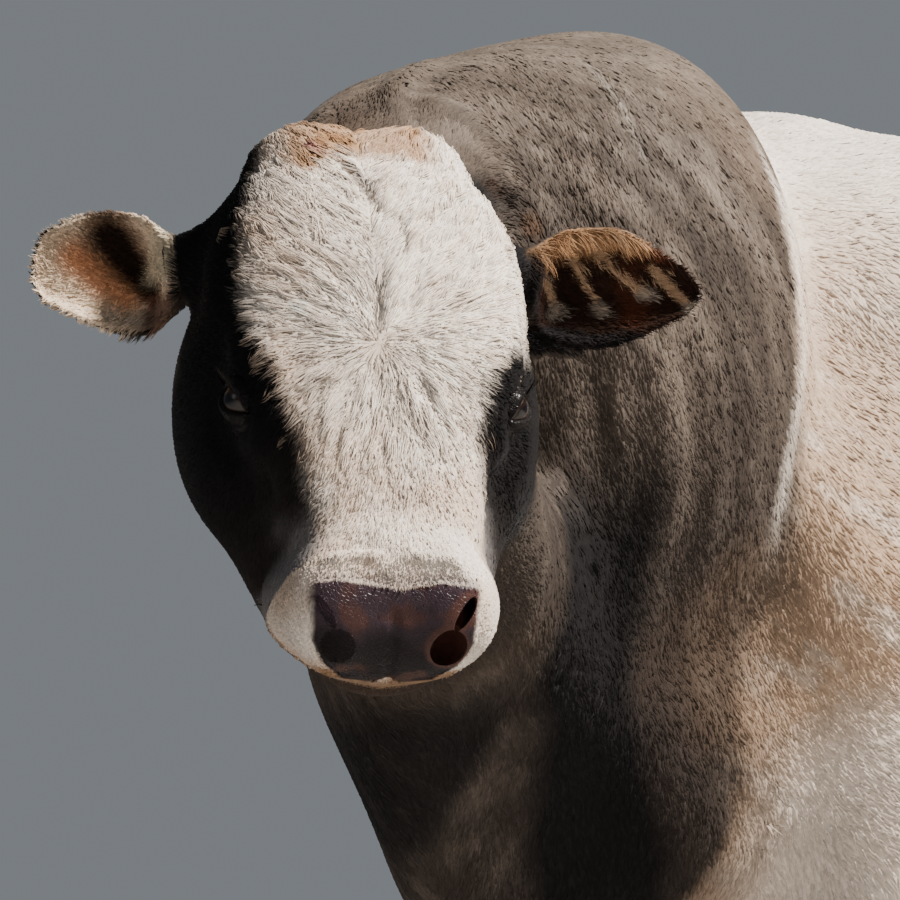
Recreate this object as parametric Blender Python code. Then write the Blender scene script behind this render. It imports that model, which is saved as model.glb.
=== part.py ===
"""A Piedmontese bull, life size, standing still with its head turned to its left.

The body is an implicit surface: muscles and bones are ellipsoids and tapered tubes that blend into
one another.  Blender's voxel Remesh makes one closed skin round them, each vertex then settles on
the blended surface, and thin cuts part the skin into its named pieces.
Metres, +Z up, the body along Y with the chest towards -Y, and the bull's left towards +X.
"""

import math

import bmesh
import bpy
import numpy as np
from mathutils import Matrix, Vector

# Driving dimensions of the animal, in metres
GAP = 0.0004
FORELEG_CUT = 0.565
HINDLEG_CUT = 0.620
TAIL_CUT = 1.10
SWITCH_CUT = 0.66
SWITCH_TIP = 0.34
# Moves the middle of the whole box's underside to the origin
SHIFT = np.array([-0.038, 0.173, 0.0])

# Pose of the head: where the poll is, and how the head is turned, dipped and tilted
POLL = np.array([0.2293, -1.2019, 1.297])
HEAD_TURN = math.radians(58)
HEAD_DIP = math.radians(57)
HEAD_TILT = math.radians(-0.6)


def unit(v):
    v = np.asarray(v, float)
    return v / np.linalg.norm(v)


def head_axes():
    """Rows: along the face towards the nose, towards the bull's left, and out of the forehead."""
    facing = np.array([math.sin(HEAD_TURN), -math.cos(HEAD_TURN), 0.0])
    left = np.cross([0.0, 0.0, 1.0], facing)
    along = facing * math.cos(HEAD_DIP) - np.array([0.0, 0.0, math.sin(HEAD_DIP)])
    out = np.cross(along, left) * -1.0
    if out @ facing < 0:
        out = -out
    c, s = math.cos(HEAD_TILT), math.sin(HEAD_TILT)
    return np.array([along * c + left * s, left * c - along * s, out])


HEAD_AXES = head_axes()


def from_head(t, u, v):
    """A point given along the face, to the bull's left and out of the forehead, as a world point."""
    return POLL + t * HEAD_AXES[0] + u * HEAD_AXES[1] + v * HEAD_AXES[2]


def swell(blend):
    """How far the rough shapes stand out, so that a blended joint lies inside them."""
    return 0.003 + 0.25 * blend


def smooth_min(a, b, k):
    h = np.clip(1.0 - np.abs(a - b) / k, 0.0, None)
    return np.minimum(a, b) - 0.25 * k * h * h


def smooth_rows(rows, steps):
    """Catmull-Rom interpolation of a table of stations."""
    rows = np.asarray(rows, float)
    padded = np.vstack([2 * rows[0] - rows[1], rows, 2 * rows[-1] - rows[-2]])
    out = []
    for i in range(len(rows) - 1):
        p0, p1, p2, p3 = padded[i : i + 4]
        for s in np.arange(steps) / steps:
            out.append(
                0.5
                * (
                    2 * p1
                    + (p2 - p0) * s
                    + (2 * p0 - 5 * p1 + 4 * p2 - p3) * s * s
                    + (3 * p1 - p0 - 3 * p2 + p3) * s**3
                )
            )
    out.append(rows[-1])
    return np.array(out)


class Ball:
    """An ellipsoid: its centre, three radii, and the axes that they lie along."""

    def __init__(self, centre, radii, blend=0.04, axes=np.eye(3)):
        self.centre = np.asarray(centre, float)
        self.radii = np.asarray(radii, float)
        self.axes = np.asarray(axes, float)
        self.blend = blend

    def box(self):
        half = np.sqrt(((self.axes * self.radii[:, None]) ** 2).sum(0))
        return self.centre - half, self.centre + half

    def distance(self, p):
        q = (p - self.centre) @ self.axes.T / self.radii
        k0 = np.maximum(np.linalg.norm(q, axis=1), 1e-9)
        k1 = np.maximum(np.linalg.norm(q / self.radii, axis=1), 1e-9)
        return k0 * (k0 - 1.0) / k1

    def add_to(self, mesh):
        made = bmesh.ops.create_uvsphere(mesh, u_segments=20, v_segments=12, radius=1.0)
        radii = self.radii + swell(self.blend)
        for vert in made["verts"]:
            vert.co = Vector(self.centre + (np.array(vert.co) * radii) @ self.axes)


class Tube:
    """A tube of rounded sections along a smooth line.

    A station is x, y, z, half width, reach towards the hint side, reach away from it.
    """

    STEPS = 12

    def __init__(self, stations, blend=0.04, hint=(0, 0, 1), power=2.2):
        rows = smooth_rows(stations, self.STEPS)
        self.centre, self.size = rows[:, :3], rows[:, 3:6]
        step = np.gradient(self.centre, axis=0)
        self.along = step / np.linalg.norm(step, axis=1)[:, None]
        self.step = np.linalg.norm(step, axis=1)
        hops = np.linalg.norm(np.diff(self.centre, axis=0), axis=1)
        self.length = np.concatenate([[0.0], np.cumsum(hops)])
        across = np.cross(self.along, np.asarray(hint, float))
        self.across = across / np.linalg.norm(across, axis=1)[:, None]
        self.over = np.cross(self.across, self.along)
        self.power, self.blend = power, blend

    def box(self):
        reach = self.size.max(1)[:, None]
        return (self.centre - reach).min(0), (self.centre + reach).max(0)

    def distance(self, p):
        out = np.empty(len(p))
        for first in range(0, len(p), 20000):
            out[first : first + 20000] = self.part_distance(p[first : first + 20000])
        return out

    def part_distance(self, p):
        near = (p**2).sum(1)[:, None] - 2 * p @ self.centre.T + (self.centre**2).sum(1)
        i = near.argmin(1)
        ahead = ((p - self.centre[i]) * self.along[i]).sum(1) / self.step[i]
        last = len(self.centre) - 1
        place = np.clip(i + np.clip(ahead, -0.5, 0.5), 0, last)
        j = np.minimum(place.astype(int), last - 1)
        w = (place - j)[:, None]

        def at(values):
            return values[j] * (1 - w) + values[j + 1] * w

        off = p - at(self.centre)
        size = at(self.size)
        x = np.abs((off * at(self.across)).sum(1))
        y = (off * at(self.over)).sum(1)
        z = (off * at(self.along)).sum(1)
        high = np.where(y > 0, size[:, 1], size[:, 2])
        n = self.power
        ratio = ((x / size[:, 0]) ** n + (np.abs(y) / high) ** n) ** (1 / n)
        r = np.hypot(x, y)
        edge = np.where(ratio > 1e-6, r / np.maximum(ratio, 1e-6), size[:, 0])
        d = r - edge
        walked = self.length[j] * (1 - w[:, 0]) + self.length[j + 1] * w[:, 0]
        past = np.maximum(-walked, walked - self.length[-1])
        past = np.where(place <= 0, -z, np.where(place >= last, z, past))
        return np.hypot(d.clip(0), past.clip(0)) + np.minimum(np.maximum(d, past), 0)

    def add_to(self, mesh):
        count = 20
        rings = []
        size = self.size + swell(self.blend)
        picks = sorted(set(list(range(0, len(self.centre), 3)) + [len(self.centre) - 1]))
        for i in picks:
            ring = []
            for a in np.arange(count) * math.tau / count:
                c, s = math.cos(a), math.sin(a)
                shape = (abs(c) ** self.power + abs(s) ** self.power) ** (-1 / self.power)
                high = size[i, 1] if s > 0 else size[i, 2]
                co = (
                    self.centre[i]
                    + self.across[i] * c * shape * size[i, 0]
                    + self.over[i] * s * shape * high
                )
                ring.append(mesh.verts.new(co))
            rings.append(ring)
        for a, b in zip(rings, rings[1:]):
            for k in range(count):
                mesh.faces.new([a[k], a[(k + 1) % count], b[(k + 1) % count], b[k]])
        mesh.faces.new(rings[0][::-1])
        mesh.faces.new(rings[-1])


class Stroke:
    """A groove, or with a negative depth a ridge, along a line over the surface."""

    def __init__(self, points, width, depth, ends=0.5):
        self.points = np.asarray(points, float)
        self.width, self.depth = width, depth
        self.ends = ends

    def box(self):
        return self.points.min(0), self.points.max(0)

    def depth_at(self, p):
        best = np.full(len(p), 9.0)
        fade = np.ones(len(p))
        total = len(self.points) - 1
        for i, (a, b) in enumerate(zip(self.points, self.points[1:])):
            span = b - a
            s = np.clip(((p - a) @ span) / (span @ span), 0, 1)
            d = np.linalg.norm(p - a - s[:, None] * span, axis=1)
            place = (i + s) / total
            nearer = d < best
            best = np.where(nearer, d, best)
            edge = np.minimum(place, 1 - place) / max(self.ends, 1e-6) * 2
            fade = np.where(nearer, np.clip(edge, 0, 1), fade)
        return self.depth * fade * np.exp(-((best / self.width) ** 2))


MARGIN = 0.05


class Body:
    """Shapes blended in order, shapes taken away, then strokes on what results."""

    def __init__(self):
        self.shapes, self.hollows, self.strokes, self.grooves = [], [], [], []

    def field(self, p):
        d = np.full(len(p), 1.0)
        for shape in self.shapes:
            low, high = shape.box()
            pad = MARGIN + shape.blend
            near = ((p > low - pad) & (p < high + pad)).all(1)
            if near.any():
                d[near] = smooth_min(d[near], shape.distance(p[near]), shape.blend)
        for shape in self.hollows:
            low, high = shape.box()
            pad = 0.02 + shape.blend
            near = ((p > low - pad) & (p < high + pad)).all(1)
            if near.any():
                d[near] = -smooth_min(-d[near], shape.distance(p[near]), shape.blend)
        for stroke in self.strokes:
            low, high = stroke.box()
            pad = 3 * stroke.width
            near = ((p > low - pad) & (p < high + pad)).all(1)
            if near.any():
                d[near] += stroke.depth_at(p[near])
        return d

    def slope(self, p, step=0.002):
        """The field and its slope at each point, from the corners of a small tetrahedron."""
        corners = np.array([[1, 1, 1], [1, -1, -1], [-1, 1, -1], [-1, -1, 1]], float)
        values = [self.field(p + c * step) for c in corners]
        return sum(values) / 4, sum(v[:, None] * c for v, c in zip(values, corners)) / (4 * step)

    def settle(self, p, rounds=4, step=0.002):
        """Moves points on to the blended surface, along its slope."""
        for _ in range(rounds):
            here, slope = self.slope(p, step)
            steep = np.maximum((slope**2).sum(1), 0.2)
            p = p - np.clip(here / steep, -0.03, 0.03)[:, None] * slope
        return p

    def normals(self, p):
        slope = self.slope(p)[1]
        return slope / np.linalg.norm(slope, axis=1)[:, None]

    def carve(self):
        """Lays each groove's line on the surface, with points added between, and keeps it."""
        strokes = []
        for line, width, depth in self.grooves:
            fine = smooth_rows(line, 4)
            strokes.append(Stroke(self.settle(fine, 14), width, depth))
        self.strokes += strokes

    def raw_mesh(self):
        mesh = bmesh.new()
        for shape in self.shapes:
            shape.add_to(mesh)
        return mesh


def mirrored(points):
    return [[-row[0], *row[1:]] for row in points]


def both_sides(body, centre, radii, blend=0.04, axes=np.eye(3)):
    """The same muscle on the bull's left and right."""
    flip = np.diag([-1.0, 1.0, 1.0])
    body.shapes.append(Ball(centre, radii, blend, axes))
    body.shapes.append(Ball(flip @ np.asarray(centre, float), radii, blend, axes @ flip))


def tilted(pitch=0.0, yaw=0.0, roll=0.0):
    """Axes turned about X by pitch, Z by yaw and Y by roll, in degrees."""
    turn = (
        Matrix.Rotation(math.radians(yaw), 3, "Z")
        @ Matrix.Rotation(math.radians(pitch), 3, "X")
        @ Matrix.Rotation(math.radians(roll), 3, "Y")
    )
    return np.array(turn).T


def add_trunk(body):
    # y, middle height, half width, reach up, reach down
    rows = [
        (0.945, 1.050, 0.050, 0.080, 0.070),
        (0.90, 1.060, 0.150, 0.170, 0.150),
        (0.80, 1.080, 0.235, 0.255, 0.215),
        (0.62, 1.100, 0.285, 0.300, 0.270),
        (0.42, 1.080, 0.300, 0.325, 0.335),
        (0.18, 1.040, 0.335, 0.360, 0.395),
        (-0.08, 1.010, 0.352, 0.385, 0.425),
        (-0.30, 1.000, 0.322, 0.434, 0.425),
        (-0.45, 1.000, 0.285, 0.461, 0.420),
        (-0.60, 0.970, 0.235, 0.360, 0.400),
        (-0.72, 0.900, 0.175, 0.230, 0.330),
        (-0.80, 0.820, 0.100, 0.120, 0.180),
    ]
    body.shapes.append(
        Tube([(0.0, y, z, w, up, down) for y, z, w, up, down in rows], 0.05, power=2.3)
    )


def add_muscles(body):
    # shoulder blade, upper arm, point of the shoulder, breast
    both_sides(body, (0.170, -0.400, 1.130), (0.152, 0.190, 0.290), 0.07, tilted(-14, 0, 6))
    both_sides(body, (0.222, -0.360, 0.880), (0.128, 0.190, 0.190), 0.06, tilted(24))
    both_sides(body, (0.262, -0.300, 0.930), (0.085, 0.110, 0.170), 0.04, tilted(30))
    both_sides(body, (0.226, -0.470, 0.690), (0.078, 0.088, 0.130), 0.05, tilted(6))
    both_sides(body, (0.185, -0.560, 0.930), (0.120, 0.130, 0.190), 0.10, tilted(16))
    both_sides(body, (0.095, -0.660, 0.720), (0.120, 0.170, 0.150), 0.12)
    # loin, then rump, thigh, buttock, lower thigh, stifle and pin bone
    both_sides(body, (0.130, 0.080, 1.305), (0.135, 0.440, 0.090), 0.07)
    both_sides(body, (0.180, 0.480, 1.230), (0.170, 0.250, 0.170), 0.06, tilted(-8))
    both_sides(body, (0.222, 0.620, 1.060), (0.170, 0.200, 0.275), 0.035, tilted(-12))
    both_sides(body, (0.180, 0.835, 0.985), (0.148, 0.160, 0.250), 0.025, tilted(-6))
    both_sides(body, (0.232, 0.620, 0.860), (0.128, 0.200, 0.200), 0.05, tilted(12))
    both_sides(body, (0.228, 0.690, 0.740), (0.088, 0.115, 0.130), 0.04, tilted(-16))
    both_sides(body, (0.235, 0.420, 0.850), (0.090, 0.120, 0.170), 0.09, tilted(-20))
    both_sides(body, (0.110, 0.860, 1.200), (0.070, 0.070, 0.070), 0.07)
    # sheath and scrotum
    sheath = [
        (0.0, 0.380, 0.740, 0.030, 0.040, 0.030),
        (0.0, 0.240, 0.675, 0.045, 0.050, 0.045),
        (0.0, 0.120, 0.620, 0.050, 0.050, 0.048),
        (0.0, 0.050, 0.588, 0.044, 0.046, 0.040),
        (0.0, 0.010, 0.575, 0.022, 0.030, 0.022),
    ]
    body.shapes.append(Tube(sheath, 0.07))
    sac = [
        (0.0, 0.600, 0.860, 0.060, 0.060, 0.060),
        (0.0, 0.600, 0.760, 0.052, 0.046, 0.048),
        (0.0, 0.598, 0.690, 0.056, 0.050, 0.052),
        (0.0, 0.594, 0.620, 0.070, 0.064, 0.064),
        (0.0, 0.592, 0.560, 0.066, 0.060, 0.060),
        (0.0, 0.592, 0.520, 0.034, 0.032, 0.032),
    ]
    body.shapes.append(Tube(sac, 0.04, hint=(0, -1, 0)))


def add_forelegs(body):
    for side, step in ((1, -0.02), (-1, 0.03)):
        # x, y, z, half width, reach forward, reach back
        rows = [
            (0.218, -0.430, 0.900, 0.100, 0.140, 0.150),
            (0.216, -0.450, 0.740, 0.098, 0.125, 0.130),
            (0.212, -0.470 + step * 0.2, 0.640, 0.087, 0.108, 0.112),
            (0.206, -0.490 + step * 0.4, 0.540, 0.071, 0.084, 0.084),
            (0.200, -0.508 + step * 0.6, 0.450, 0.056, 0.064, 0.060),
            (0.198, -0.518 + step * 0.8, 0.385, 0.057, 0.063, 0.056),
            (0.197, -0.514 + step * 0.9, 0.325, 0.047, 0.049, 0.050),
            (0.196, -0.512 + step, 0.245, 0.038, 0.040, 0.046),
            (0.196, -0.514 + step, 0.180, 0.041, 0.041, 0.050),
            (0.196, -0.519 + step, 0.135, 0.052, 0.050, 0.056),
            (0.197, -0.540 + step, 0.098, 0.050, 0.046, 0.050),
            (0.198, -0.560 + step, 0.062, 0.060, 0.058, 0.062),
            (0.198, -0.572 + step, 0.034, 0.060, 0.062, 0.064),
            (0.198, -0.574 + step, 0.020, 0.050, 0.052, 0.052),
        ]
        rows = rows if side > 0 else mirrored(rows)
        body.shapes.append(Tube(rows, 0.07, hint=(0, -1, 0), power=2.3))
        for off in (-0.028, 0.028):
            centre = (0.196 * side + off, -0.462 + step, 0.118)
            body.shapes.append(Ball(centre, (0.014, 0.020, 0.018), 0.012, tilted(35)))


def add_hindlegs(body):
    for side, step in ((1, 0.05), (-1, -0.04)):
        rows = [
            (0.222, 0.600, 0.920, 0.125, 0.190, 0.200),
            (0.222, 0.640 + step * 0.2, 0.780, 0.108, 0.165, 0.150),
            (0.216, 0.700 + step * 0.5, 0.670, 0.079, 0.112, 0.105),
            (0.210, 0.762 + step * 0.7, 0.575, 0.056, 0.070, 0.082),
            (0.206, 0.792 + step * 0.8, 0.500, 0.054, 0.068, 0.068),
            (0.206, 0.790 + step * 0.9, 0.430, 0.046, 0.058, 0.052),
            (0.206, 0.775 + step, 0.310, 0.039, 0.043, 0.047),
            (0.206, 0.767 + step, 0.210, 0.042, 0.044, 0.050),
            (0.206, 0.758 + step, 0.148, 0.052, 0.051, 0.058),
            (0.207, 0.737 + step, 0.104, 0.049, 0.047, 0.050),
            (0.208, 0.716 + step, 0.064, 0.059, 0.057, 0.062),
            (0.208, 0.704 + step, 0.034, 0.059, 0.061, 0.064),
            (0.208, 0.702 + step, 0.020, 0.049, 0.051, 0.052),
        ]
        rows = rows if side > 0 else mirrored(rows)
        body.shapes.append(Tube(rows, 0.07, hint=(0, -1, 0), power=2.3))
        hock = (0.206 * side, 0.845 + step * 0.8, 0.535)
        body.shapes.append(Ball(hock, (0.030, 0.030, 0.055), 0.03, tilted(-8)))
        for off in (-0.028, 0.028):
            centre = (0.206 * side + off, 0.818 + step, 0.124)
            body.shapes.append(Ball(centre, (0.014, 0.020, 0.018), 0.012, tilted(35)))


def add_neck(body):
    # x, y, z, half width, reach up to the crest, reach down to the throat
    rows = [
        (0.000, -0.425, 1.170, 0.060, 0.130, 0.120),
        (0.000, -0.490, 1.170, 0.120, 0.225, 0.240),
        (0.004, -0.575, 1.170, 0.186, 0.302, 0.330),
        (0.014, -0.655, 1.165, 0.237, 0.340, 0.370),
        (0.030, -0.730, 1.155, 0.264, 0.350, 0.385),
        (0.040, -0.840, 1.142, 0.248, 0.332, 0.370),
        (0.046, -0.935, 1.130, 0.204, 0.310, 0.330),
        (0.064, -1.020, 1.115, 0.160, 0.284, 0.270),
        (0.098, -1.085, 1.098, 0.132, 0.244, 0.210),
        (0.145, -1.125, 1.082, 0.104, 0.186, 0.160),
        (0.180, -1.145, 1.076, 0.055, 0.090, 0.090),
    ]
    body.shapes.append(Tube(rows, 0.022, power=2.2))
    under = [
        (0.235, -1.150, 1.030, 0.060, 0.060, 0.070),
        (0.200, -1.110, 0.990, 0.105, 0.090, 0.095),
        (0.140, -1.030, 0.925, 0.135, 0.120, 0.115),
        (0.075, -0.930, 0.860, 0.160, 0.150, 0.135),
        (0.025, -0.810, 0.810, 0.185, 0.170, 0.150),
        (0.000, -0.670, 0.790, 0.195, 0.180, 0.150),
        (0.000, -0.520, 0.790, 0.150, 0.150, 0.120),
    ]
    body.shapes.append(Tube(under, 0.08))
    keel = [
        (0.225, -1.165, 0.985, 0.030, 0.050, 0.040),
        (0.172, -1.105, 0.930, 0.052, 0.100, 0.085),
        (0.092, -1.020, 0.830, 0.060, 0.130, 0.100),
        (0.038, -0.936, 0.733, 0.066, 0.150, 0.100),
        (0.008, -0.852, 0.648, 0.076, 0.150, 0.105),
        (0.000, -0.760, 0.590, 0.085, 0.140, 0.095),
        (0.000, -0.620, 0.590, 0.080, 0.100, 0.070),
        (0.000, -0.480, 0.610, 0.060, 0.080, 0.050),
    ]
    body.shapes.append(Tube(keel, 0.10))


def head_ball(body, t, u, v, radii, blend=0.02, dip=0.0, yaw=0.0):
    """A ball of the head; one off the middle line is made on both sides.

    Its radii lie along the face, across it and out of it, turned by dip about the cross axis.
    """
    for side in (1, -1) if u else (1,):
        c, s = math.cos(math.radians(dip)), math.sin(math.radians(dip))
        cy, sy = math.cos(math.radians(yaw) * side), math.sin(math.radians(yaw) * side)
        pitch = np.array([[c, 0, s], [0, 1, 0], [-s, 0, c]])
        swing = np.array([[cy, sy, 0], [-sy, cy, 0], [0, 0, 1]])
        axes = pitch @ swing @ HEAD_AXES
        body.shapes.append(Ball(from_head(t, u * side, v), radii, blend, axes))


def head_tube(body, rows, blend, power):
    """A tube whose stations are given along the face, across it and out of it."""
    world = [(*from_head(t, u, v), w, up, down) for t, u, v, w, up, down in rows]
    body.shapes.append(Tube(world, blend, hint=HEAD_AXES[2], power=power))


def add_head(body):
    # along the face, across, out of it, half width, reach out, reach in
    skull = [
        (-0.040, 0.0, -0.085, 0.040, 0.030, 0.030),
        (-0.012, 0.0, -0.080, 0.092, 0.062, 0.065),
        (0.040, 0.0, -0.075, 0.126, 0.084, 0.085),
        (0.100, 0.0, -0.072, 0.144, 0.098, 0.100),
        (0.170, 0.0, -0.072, 0.148, 0.102, 0.105),
        (0.235, 0.0, -0.074, 0.135, 0.096, 0.100),
        (0.300, 0.0, -0.078, 0.110, 0.084, 0.085),
        (0.370, 0.0, -0.082, 0.094, 0.070, 0.070),
        (0.430, 0.0, -0.086, 0.084, 0.060, 0.058),
        (0.485, 0.0, -0.090, 0.074, 0.050, 0.050),
        (0.510, 0.0, -0.092, 0.050, 0.030, 0.030),
    ]
    head_tube(body, skull, 0.03, 2.6)
    jaw = [
        (0.010, 0.0, -0.170, 0.085, 0.050, 0.050),
        (0.070, 0.0, -0.176, 0.130, 0.074, 0.074),
        (0.140, 0.0, -0.184, 0.152, 0.090, 0.086),
        (0.220, 0.0, -0.180, 0.156, 0.090, 0.080),
        (0.300, 0.0, -0.168, 0.140, 0.080, 0.066),
        (0.370, 0.0, -0.156, 0.118, 0.064, 0.050),
        (0.440, 0.0, -0.146, 0.096, 0.050, 0.038),
        (0.485, 0.0, -0.142, 0.066, 0.036, 0.028),
        (0.500, 0.0, -0.140, 0.040, 0.020, 0.016),
    ]
    head_tube(body, jaw, 0.055, 2.4)
    # cheek, poll, brow and orbit
    head_ball(body, 0.205, 0.114, -0.150, (0.125, 0.052, 0.088), 0.03, dip=12)
    head_ball(body, -0.005, 0.045, -0.045, (0.040, 0.055, 0.045), 0.03)
    head_ball(body, 0.276, 0.093, -0.052, (0.056, 0.030, 0.042), 0.025)
    head_ball(body, 0.238, 0.095, -0.022, (0.045, 0.026, 0.018), 0.03, yaw=10)
    # muzzle: its pad, the lip beside each nostril, the chin
    head_ball(body, 0.474, 0.0, -0.084, (0.048, 0.090, 0.070), 0.02, dip=38)
    head_ball(body, 0.486, 0.052, -0.076, (0.040, 0.042, 0.050), 0.02, dip=38)
    head_ball(body, 0.452, 0.067, -0.112, (0.046, 0.037, 0.042), 0.02, dip=20)
    head_ball(body, 0.484, 0.0, -0.148, (0.036, 0.056, 0.030), 0.012)
    for side in (1, -1):
        root = [
            (0.070, 0.080, -0.092, 0.060, 0.060, 0.060),
            (0.062, 0.122, -0.106, 0.045, 0.045, 0.045),
            (0.058, 0.150, -0.116, 0.034, 0.034, 0.035),
            (0.056, 0.170, -0.124, 0.029, 0.029, 0.029),
        ]
        head_tube(body, [(t, u * side, v, w, a, b) for t, u, v, w, a, b in root], 0.03, 2.0)


EYE_RADIUS = 0.0205
EYE_PLACE = (0.278, 0.117, -0.048)
NOSTRIL_PLACE = (0.517, 0.046, -0.076)


def add_face_details(body):
    for side in (1, -1):
        def at(t, u, v):
            return from_head(t, u * side, v)

        # each nostril is round and deep by the nose, with a slit that runs out and up from it
        tilt = np.array([[0.80, 0.15 * side, 0.58], [-0.10, side, 0.0], [-0.58, 0.0, 0.80]])
        tilt = np.array([unit(row) for row in tilt]) @ HEAD_AXES
        t, u, v = NOSTRIL_PLACE
        body.hollows.append(Ball(at(t, u, v), (0.023, 0.017, 0.020), 0.008, tilt))
        wing = np.array([[0.46, -0.52 * side, -0.72], [0.60, 0.80 * side, 0.0], [0.65, 0.0, 0.76]])
        wing = np.array([unit(row) for row in wing]) @ HEAD_AXES
        body.hollows.append(Ball(at(0.502, 0.058, -0.053), (0.021, 0.0085, 0.015), 0.008, wing))
        # the orbit opens round the eyeball
        place = at(*EYE_PLACE) + 0.020 * eye_axes(side)[2]
        body.hollows.append(Ball(place, (0.031, 0.025, 0.015), 0.010, eye_axes(side)))
        # mouth line and the fold above the upper lip
        lip = [(0.512, 0.0, -0.128), (0.508, 0.035, -0.128), (0.492, 0.066, -0.128)]
        lip += [(0.465, 0.084, -0.126), (0.430, 0.090, -0.122), (0.395, 0.090, -0.122)]
        body.grooves.append(([at(*p) for p in lip], 0.005, 0.009))
        # fold below the eye and over it
        low = [(0.308, 0.117, -0.078), (0.283, 0.121, -0.086), (0.253, 0.121, -0.080)]
        body.grooves.append(([at(*p) for p in low], 0.009, 0.004))
        high = [(0.308, 0.105, -0.016), (0.276, 0.115, -0.006), (0.244, 0.119, -0.012)]
        body.grooves.append(([at(*p) for p in high], 0.009, 0.004))


def add_grooves(body):
    """Muscle edges: each line is laid on the surface, then sunk into it."""
    for side in (1, -1):
        lines = [
            # between the thigh muscles, behind the shoulder blade, then over and along the upper arm
            ([(0.40, 0.74, 1.22), (0.40, 0.745, 1.05), (0.40, 0.71, 0.86)], 0.018, 0.016),
            ([(0.40, 0.50, 1.20), (0.42, 0.48, 1.02), (0.40, 0.46, 0.86)], 0.026, 0.012),
            ([(0.40, 0.64, 1.18), (0.42, 0.64, 1.04), (0.40, 0.62, 0.90)], 0.016, 0.007),
            ([(0.30, -0.20, 1.32), (0.40, -0.20, 1.12), (0.40, -0.17, 0.86)], 0.032, 0.014),
            ([(0.40, -0.54, 1.06), (0.40, -0.44, 1.03), (0.40, -0.26, 1.06)], 0.022, 0.012),
            ([(0.40, -0.40, 1.02), (0.40, -0.37, 0.92), (0.40, -0.36, 0.80)], 0.018, 0.008),
            ([(0.32, -0.56, 0.80), (0.34, -0.46, 0.77), (0.34, -0.34, 0.77)], 0.020, 0.010),
        ]
        for line, width, depth in lines:
            body.grooves.append(([(x * side, y, z) for x, y, z in line], width, depth))


def add_tail(body):
    rows = [
        (0.000, 0.720, 1.290, 0.050, 0.050, 0.050),
        (0.000, 0.850, 1.312, 0.048, 0.046, 0.050),
        (0.000, 0.945, 1.282, 0.040, 0.038, 0.040),
        (0.003, 1.005, 1.190, 0.031, 0.031, 0.032),
        (0.006, 1.028, 1.060, 0.026, 0.026, 0.027),
        (0.010, 1.026, 0.900, 0.022, 0.022, 0.022),
        (0.014, 1.016, 0.740, 0.018, 0.018, 0.018),
        (0.016, 1.010, 0.620, 0.015, 0.015, 0.015),
    ]
    body.shapes.append(Tube(rows, 0.03, hint=(0, 1, 0.3)))


def bull():
    body = Body()
    add_trunk(body)
    add_muscles(body)
    add_forelegs(body)
    add_hindlegs(body)
    add_neck(body)
    add_head(body)
    add_face_details(body)
    add_tail(body)
    add_grooves(body)
    body.carve()
    return body


# How finely the skin is sampled, and how many triangles are kept of it
VOXEL = 0.010
BODY_TRIANGLES = 3700
HEAD_TRIANGLES = 1750
FEATURE_TRIANGLES = 1150


def mesh_object(name, points, faces):
    mesh = bpy.data.meshes.new(name)
    mesh.from_pydata([tuple(p) for p in points], [], faces)
    mesh.validate()
    made = bpy.data.objects.new(name, mesh)
    bpy.context.scene.collection.objects.link(made)
    return made


def applied(made):
    """Swaps an object's mesh for the one that its modifiers make."""
    graph = bpy.context.evaluated_depsgraph_get()
    mesh = bpy.data.meshes.new_from_object(made.evaluated_get(graph))
    made.modifiers.clear()
    old, made.data = made.data, mesh
    bpy.data.meshes.remove(old)


def points_of(mesh):
    flat = np.empty(len(mesh.vertices) * 3)
    mesh.vertices.foreach_get("co", flat)
    return flat.reshape(-1, 3)


def put_points(mesh, points):
    mesh.vertices.foreach_set("co", points.astype(np.float32).ravel())
    mesh.update()


def in_head(points):
    return (points - POLL) @ HEAD_AXES.T


def near_head(points, more=0.0):
    t, u, v = in_head(points).T
    back = -0.26 - 0.3 * (t - 0.1).clip(0) - more
    return (t > -0.07 - more) & (t < 0.62) & (v > back) & (np.abs(u) < 0.20 + more)


def near_features(points, more=0.0):
    """Round the eyes, the nostrils and the lips."""
    q = in_head(points)
    t, u, v = q.T
    eye = np.linalg.norm(q * [1, 0, 1] + [0, 1, 0] * np.abs(q) - EYE_PLACE, axis=1)
    return (eye < 0.044 + more) | ((t > 0.455 - more) & (v > -0.22))


def subdivide(made, chosen):
    """Halves the edges whose two ends are chosen."""
    mesh = bmesh.new()
    mesh.from_mesh(made.data)
    points = np.array([v.co for v in mesh.verts])
    keep = chosen(points)
    edges = [e for e in mesh.edges if keep[e.verts[0].index] and keep[e.verts[1].index]]
    bmesh.ops.subdivide_edges(mesh, edges=edges, cuts=1, use_grid_fill=True)
    bmesh.ops.triangulate(mesh, faces=[f for f in mesh.faces if len(f.verts) > 4])
    mesh.to_mesh(made.data)
    mesh.free()


def relax(made, chosen):
    """Evens out the spacing of the chosen vertices."""
    mesh = bmesh.new()
    mesh.from_mesh(made.data)
    verts = [v for v, near in zip(mesh.verts, chosen) if near]
    for _ in range(2):
        bmesh.ops.smooth_vert(
            mesh, verts=verts, factor=0.5, use_axis_x=True, use_axis_y=True, use_axis_z=True
        )
    mesh.to_mesh(made.data)
    mesh.free()


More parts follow.
